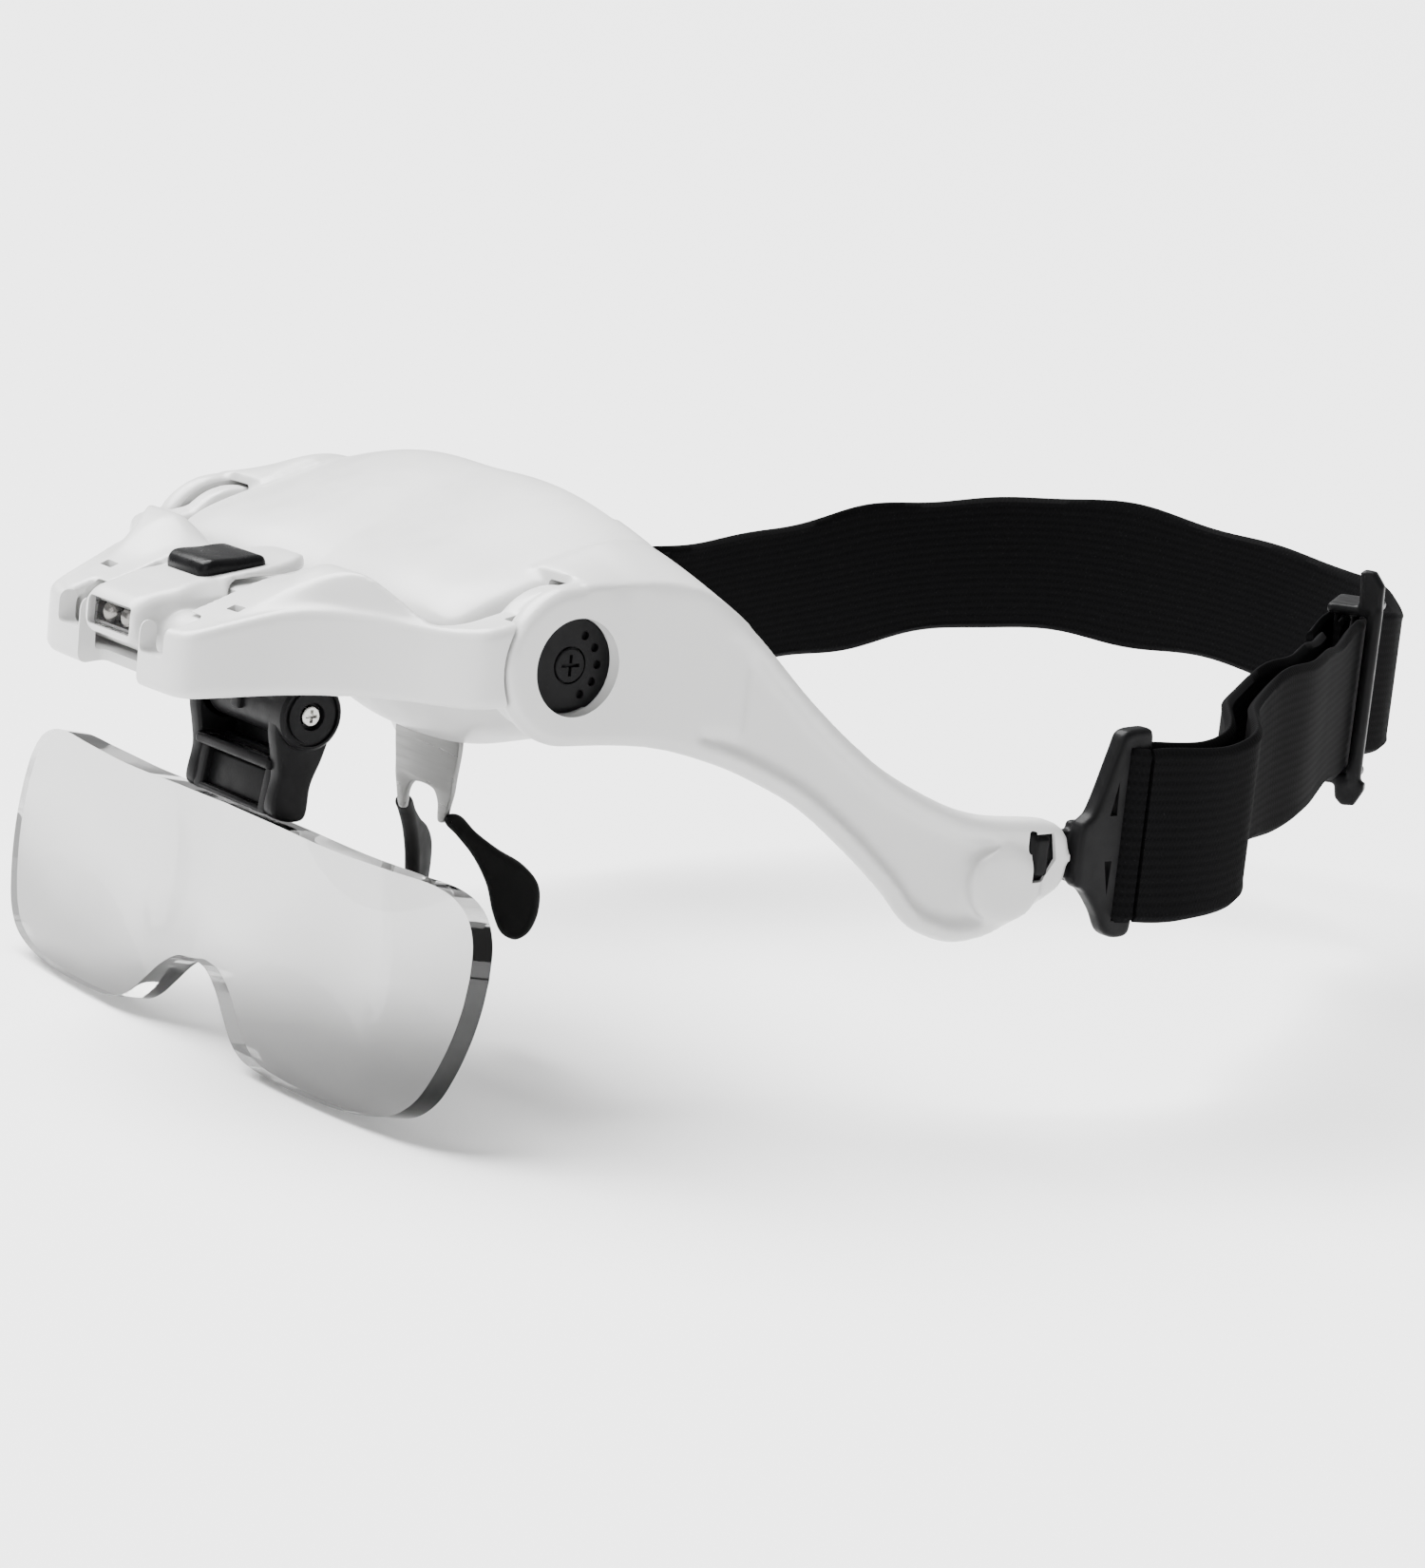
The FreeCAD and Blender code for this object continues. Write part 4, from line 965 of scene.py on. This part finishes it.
def strap_lines():
    """Every length of webbing by name: its points, thickness and the node it stands for."""
    start_out, start_in, main_end, tail_start = [
        (x, BAR_Y + 0.6, STRAP_Z)
        for x in (BAR_X + TURN_R, BAR_X - TURN_R, -BAR_X - TURN_R, -BAR_X + TURN_R)]
    outer = np.vstack([start_out, beside(NEAR_RUN, LAYER), slider_line(-31, 6, LAYER), FAR_RUN,
                       main_end])
    inner = np.vstack([start_in, beside(NEAR_RUN, -LAYER), slider_line(-31, -17, -LAYER)])
    tail = [tail_start, (-62.6, 66.0, 18.3), (-64.0, 74.0, 18.7), (-65.6, 84.0, 19.6)]
    a = np.linspace(0.0, math.pi, 8)[:, None]
    loop = SLIDER_AT + 2.3 * np.sin(a) * RUN + (-2.15 + 1.4 * np.cos(a)) * OUT
    fold = np.vstack([slider_line(-9, -1, -0.75, 2), loop, slider_line(-1, -16, -3.55, 4)])
    return [("webbing_outer", outer, STRAP_T, "strap_main"),
            ("webbing_inner", inner, STRAP_T, "strap_return"),
            ("webbing_tail", tail, STRAP_T, "strap_far_end"),
            ("webbing_fold", fold, FOLD_T, "slider_fold"),
            ("webbing_turn_left", hook_points(), STRAP_T, "strap_hook_left"),
            ("webbing_turn_right", hook_points() * (-1, 1, 1), STRAP_T, "strap_hook_right")]


# ---------------------------------------------------------------- operators
class VISOR_OT_body(bpy.types.Operator):
    """Add the white visor body with its side plates and arms"""
    bl_idname = "mesh.visor_body_add"
    bl_label = "Visor Body"

    def execute(self, context):
        mesh = body_mesh(context.scene.visor_sizes)
        place("visor_shell", mesh, "visor", "white_plastic", ["visor_body"])
        return {"FINISHED"}


class VISOR_OT_bracket(bpy.types.Operator):
    """Add the tilting bracket that carries the lamp and the lens"""
    bl_idname = "mesh.visor_bracket_add"
    bl_label = "Tilt Bracket"

    def execute(self, context):
        place("bracket_shell", bracket_mesh(), "bracket", "white_plastic", ["tilt_bracket"])
        place("hinge_knuckle", shade(hinge_mesh()), "bracket", "black_plastic", ["hinge_block"])
        return {"FINISHED"}


class VISOR_OT_lamp(bpy.types.Operator):
    """Add the lamp nose and its finger slide"""
    bl_idname = "mesh.visor_lamp_add"
    bl_label = "Lamp and Switch"

    def execute(self, context):
        place("lamp_shell", lamp_mesh(), "lamp", "white_plastic", ["lamp_housing"])
        place("lamp_liner", liner_mesh(), "lamp", "black_plastic", look="reflector")
        place("switch_saddle", shade(switch_mesh()), "switch", "black_plastic", ["switch_cap"],
              "switch_plastic")
        return {"FINISHED"}


class VISOR_OT_lens(bpy.types.Operator):
    """Add the twin lens"""
    bl_idname = "mesh.visor_lens_add"
    bl_label = "Twin Lens"

    def execute(self, context):
        mesh = shade(lens_mesh(context.scene.visor_sizes.lens_crown / MM))
        edge = place("lens_glass", mesh, "lens", "clear_acrylic", ["lens"]).modifiers.new(
            "edge", "BEVEL")
        edge.width = 1.1 * MM
        edge.segments = 5
        edge.limit_method = "ANGLE"
        edge.angle_limit = math.radians(50)
        return {"FINISHED"}


class VISOR_OT_holder(bpy.types.Operator):
    """Add the black lens holder"""
    bl_idname = "mesh.visor_holder_add"
    bl_label = "Lens Holder"

    def execute(self, context):
        place("holder_frame", shade(holder_mesh()), "holder", "black_plastic", ["lens_holder"])
        return {"FINISHED"}


class VISOR_OT_nose_rest(bpy.types.Operator):
    """Add the nose plate and its two soft pads"""
    bl_idname = "mesh.visor_nose_rest_add"
    bl_label = "Nose Rest"

    def execute(self, context):
        place("nose_plate_steel", shade(nose_plate_mesh()), "visor", "steel", ["nose_bracket"])
        for side, solid in zip(("left", "right"), pair([pad_solid()])):
            mesh = shade(mesh_from("pad_" + side, [solid]), BROAD)
            pad = place("pad_" + side, mesh, "visor", "silicone", ["nose_pad_" + side])
        return {"FINISHED"}


class VISOR_OT_strap(bpy.types.Operator):
    """Add the elastic webbing"""
    bl_idname = "mesh.visor_strap_add"
    bl_label = "Webbing"

    def execute(self, context):
        ripple = context.scene.visor_sizes.strap_ripple / MM
        for name, points, thick, node in strap_lines():
            mesh = shade(webbing_mesh(name, points, thick, ripple), BROAD)
            place(name, mesh, "slider" if node == "slider_fold" else "strap", "webbing", [node])
        return {"FINISHED"}


class VISOR_OT_hardware(bpy.types.Operator):
    """Add the strap clips and the slider"""
    bl_idname = "mesh.visor_hardware_add"
    bl_label = "Clips and Slider"

    def execute(self, context):
        left = clip_mesh()
        right = left.copy()
        right.transform(Matrix.Diagonal((-1.0, 1.0, 1.0, 1.0)))
        right.flip_normals()
        place("clip_loop_left", left, "strap", "black_plastic", ["strap_clip_left"])
        place("clip_loop_right", right, "strap", "black_plastic", ["strap_clip_right"])
        place("slider_frame", slider_mesh(), "slider", "black_plastic", ["strap_slider"])
        return {"FINISHED"}


NODE_FINISH = {
    "white_plastic": ["battery_door"],
    "cell_wrap": ["battery_1", "battery_2", "battery_3"],
    "steel": ["contact_left", "contact_right", "pivot_sleeve_left", "pivot_sleeve_right",
              "holder_pin"],
    "black_plastic": ["pivot_disc_left", "pivot_disc_right", "pivot_screw_left",
                      "pivot_screw_right"],
    "bright_steel": ["holder_screw_left", "holder_screw_right"],
    "reflector": ["lamp_reflector"],
    "led_epoxy": ["led_left", "led_right"],
    "lamp_window": ["lamp_window"],
}


class VISOR_OT_small_parts(bpy.types.Operator):
    """Give the screws, discs, cells, lamps and door their finishes"""
    bl_idname = "object.visor_small_parts_finish"
    bl_label = "Small Parts"

    def execute(self, context):
        for name, nodes in NODE_FINISH.items():
            for node in nodes:
                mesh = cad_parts[node].data
                mesh.materials.clear()
                mesh.materials.append(finish(name))
        return {"FINISHED"}


# ------------------------------------------------------------------- stage
FLOOR_REACH, FLOOR_GAP, FLOOR_GREY = 60.0, 0.0004, 0.86
SKY_STRENGTH = 0.5
SUNS = {  # where each comes from, its spread in degrees and its strength
    "key": ((-0.50, -0.20, 0.92), 55.0, 15.0),
    "fill": ((0.30, -0.90, 0.35), 40.0, 0.9),
}
CAMERA_AT = (0.4384, -0.3112, 0.1249)
CAMERA_AZIMUTH, CAMERA_ELEVATION, CAMERA_ROLL = [math.radians(a) for a in (51.0, 11.4, 5.9)]
CAMERA_LENS, CAMERA_SENSOR = 98.18, 36.0


def aim(holder, right, up, back, at=(0.0, 0.0, 0.0)):
    """Sets a camera's or a light's own axes and place."""
    rows = np.stack([right, up, back, at], 1)
    holder.matrix_world = Matrix([*rows, (0, 0, 0, 1)])


def soft_sun(name, come_from, spread_deg, power):
    """Light that falls evenly from one side of the sky."""
    lamp = bpy.data.lights.new(name, "SUN")
    lamp.energy = power
    lamp.angle = math.radians(spread_deg)
    back = np.asarray(come_from) / np.linalg.norm(come_from)
    right = np.cross([0.0, 0.0, 1.0], back)
    right /= np.linalg.norm(right)
    aim(put(name, lamp), right, np.cross(back, right), back)


def camera_object():
    """Camera ahead of the wearer's left side, a little above, turned slightly about its view."""
    azimuth, elevation, roll = CAMERA_AZIMUTH, CAMERA_ELEVATION, CAMERA_ROLL
    right = np.array([math.cos(azimuth), math.sin(azimuth), 0.0])
    back = np.array([math.sin(azimuth) * math.cos(elevation),
                     -math.cos(azimuth) * math.cos(elevation), math.sin(elevation)])
    up = np.cross(back, right)
    data = bpy.data.cameras.new("camera")
    data.lens = CAMERA_LENS
    data.sensor_width = CAMERA_SENSOR
    holder = put("camera", data)
    aim(holder, math.cos(roll) * right + math.sin(roll) * up,
        math.cos(roll) * up - math.sin(roll) * right, back, CAMERA_AT)
    bpy.context.scene.camera = holder


class VISOR_OT_stage(bpy.types.Operator):
    """Add the floor, the lights and the camera"""
    bl_idname = "scene.visor_stage_add"
    bl_label = "Stage"

    def execute(self, context):
        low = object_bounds()[0].z - FLOOR_GAP
        corners = [(x * FLOOR_REACH, y * FLOOR_REACH, low)
                   for x, y in ((-1, -1), (1, -1), (1, 1), (-1, 1))]
        mesh = bpy.data.meshes.new("floor")
        mesh.from_pydata(corners, [], [(0, 1, 2, 3)])
        floor = put("floor", mesh)
        look = Look("floor", (FLOOR_GREY,) * 3, 0.9)
        look.relief(look.noise(60.0), 0.02, 0.0005)
        mesh.materials.append(look.material)
        floor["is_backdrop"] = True
        world = bpy.data.worlds.new("studio")
        world.use_nodes = True
        sky = world.node_tree.nodes["Background"]
        sky.inputs["Color"].default_value = (1.0, 1.0, 1.0, 1.0)
        sky.inputs["Strength"].default_value = SKY_STRENGTH
        context.scene.world = world
        for name, sun in SUNS.items():
            soft_sun(name, *sun)
        camera_object()
        return {"FINISHED"}


class VISOR_PT_panel(bpy.types.Panel):
    """Lists the pieces of the visor"""
    bl_idname = "VISOR_PT_panel"
    bl_label = "Visor"
    bl_space_type = "VIEW_3D"
    bl_region_type = "UI"
    bl_category = "Visor"

    def draw(self, context):
        for group in (context.scene.visor_sizes, context.scene.visor_colours):
            for name in group.__annotations__:
                self.layout.prop(group, name)
        for operator in OPERATORS:
            self.layout.operator(operator.bl_idname)


OPERATORS = (VISOR_OT_body, VISOR_OT_bracket, VISOR_OT_lamp, VISOR_OT_lens, VISOR_OT_holder,
             VISOR_OT_nose_rest, VISOR_OT_strap, VISOR_OT_hardware, VISOR_OT_small_parts,
             VISOR_OT_stage)
CLASSES = (VisorSizes, VisorColours) + OPERATORS + (VISOR_PT_panel,)


def register():
    """Adds the panel, the operators and the settings."""
    for cls in CLASSES:
        bpy.utils.register_class(cls)
    bpy.types.Scene.visor_sizes = bpy.props.PointerProperty(type=VisorSizes)
    bpy.types.Scene.visor_colours = bpy.props.PointerProperty(type=VisorColours)


def unregister():
    """Takes them away again."""
    del bpy.types.Scene.visor_sizes
    del bpy.types.Scene.visor_colours
    for cls in reversed(CLASSES):
        bpy.utils.unregister_class(cls)


def main():
    """Builds every piece and the stage."""
    register()
    bpy.ops.mesh.visor_body_add()
    bpy.ops.mesh.visor_bracket_add()
    bpy.ops.mesh.visor_lamp_add()
    bpy.ops.mesh.visor_lens_add()
    bpy.ops.mesh.visor_holder_add()
    bpy.ops.mesh.visor_nose_rest_add()
    bpy.ops.mesh.visor_strap_add()
    bpy.ops.mesh.visor_hardware_add()
    bpy.ops.object.visor_small_parts_finish()
    bpy.ops.scene.visor_stage_add()


if __name__ == "__main__":
    main()
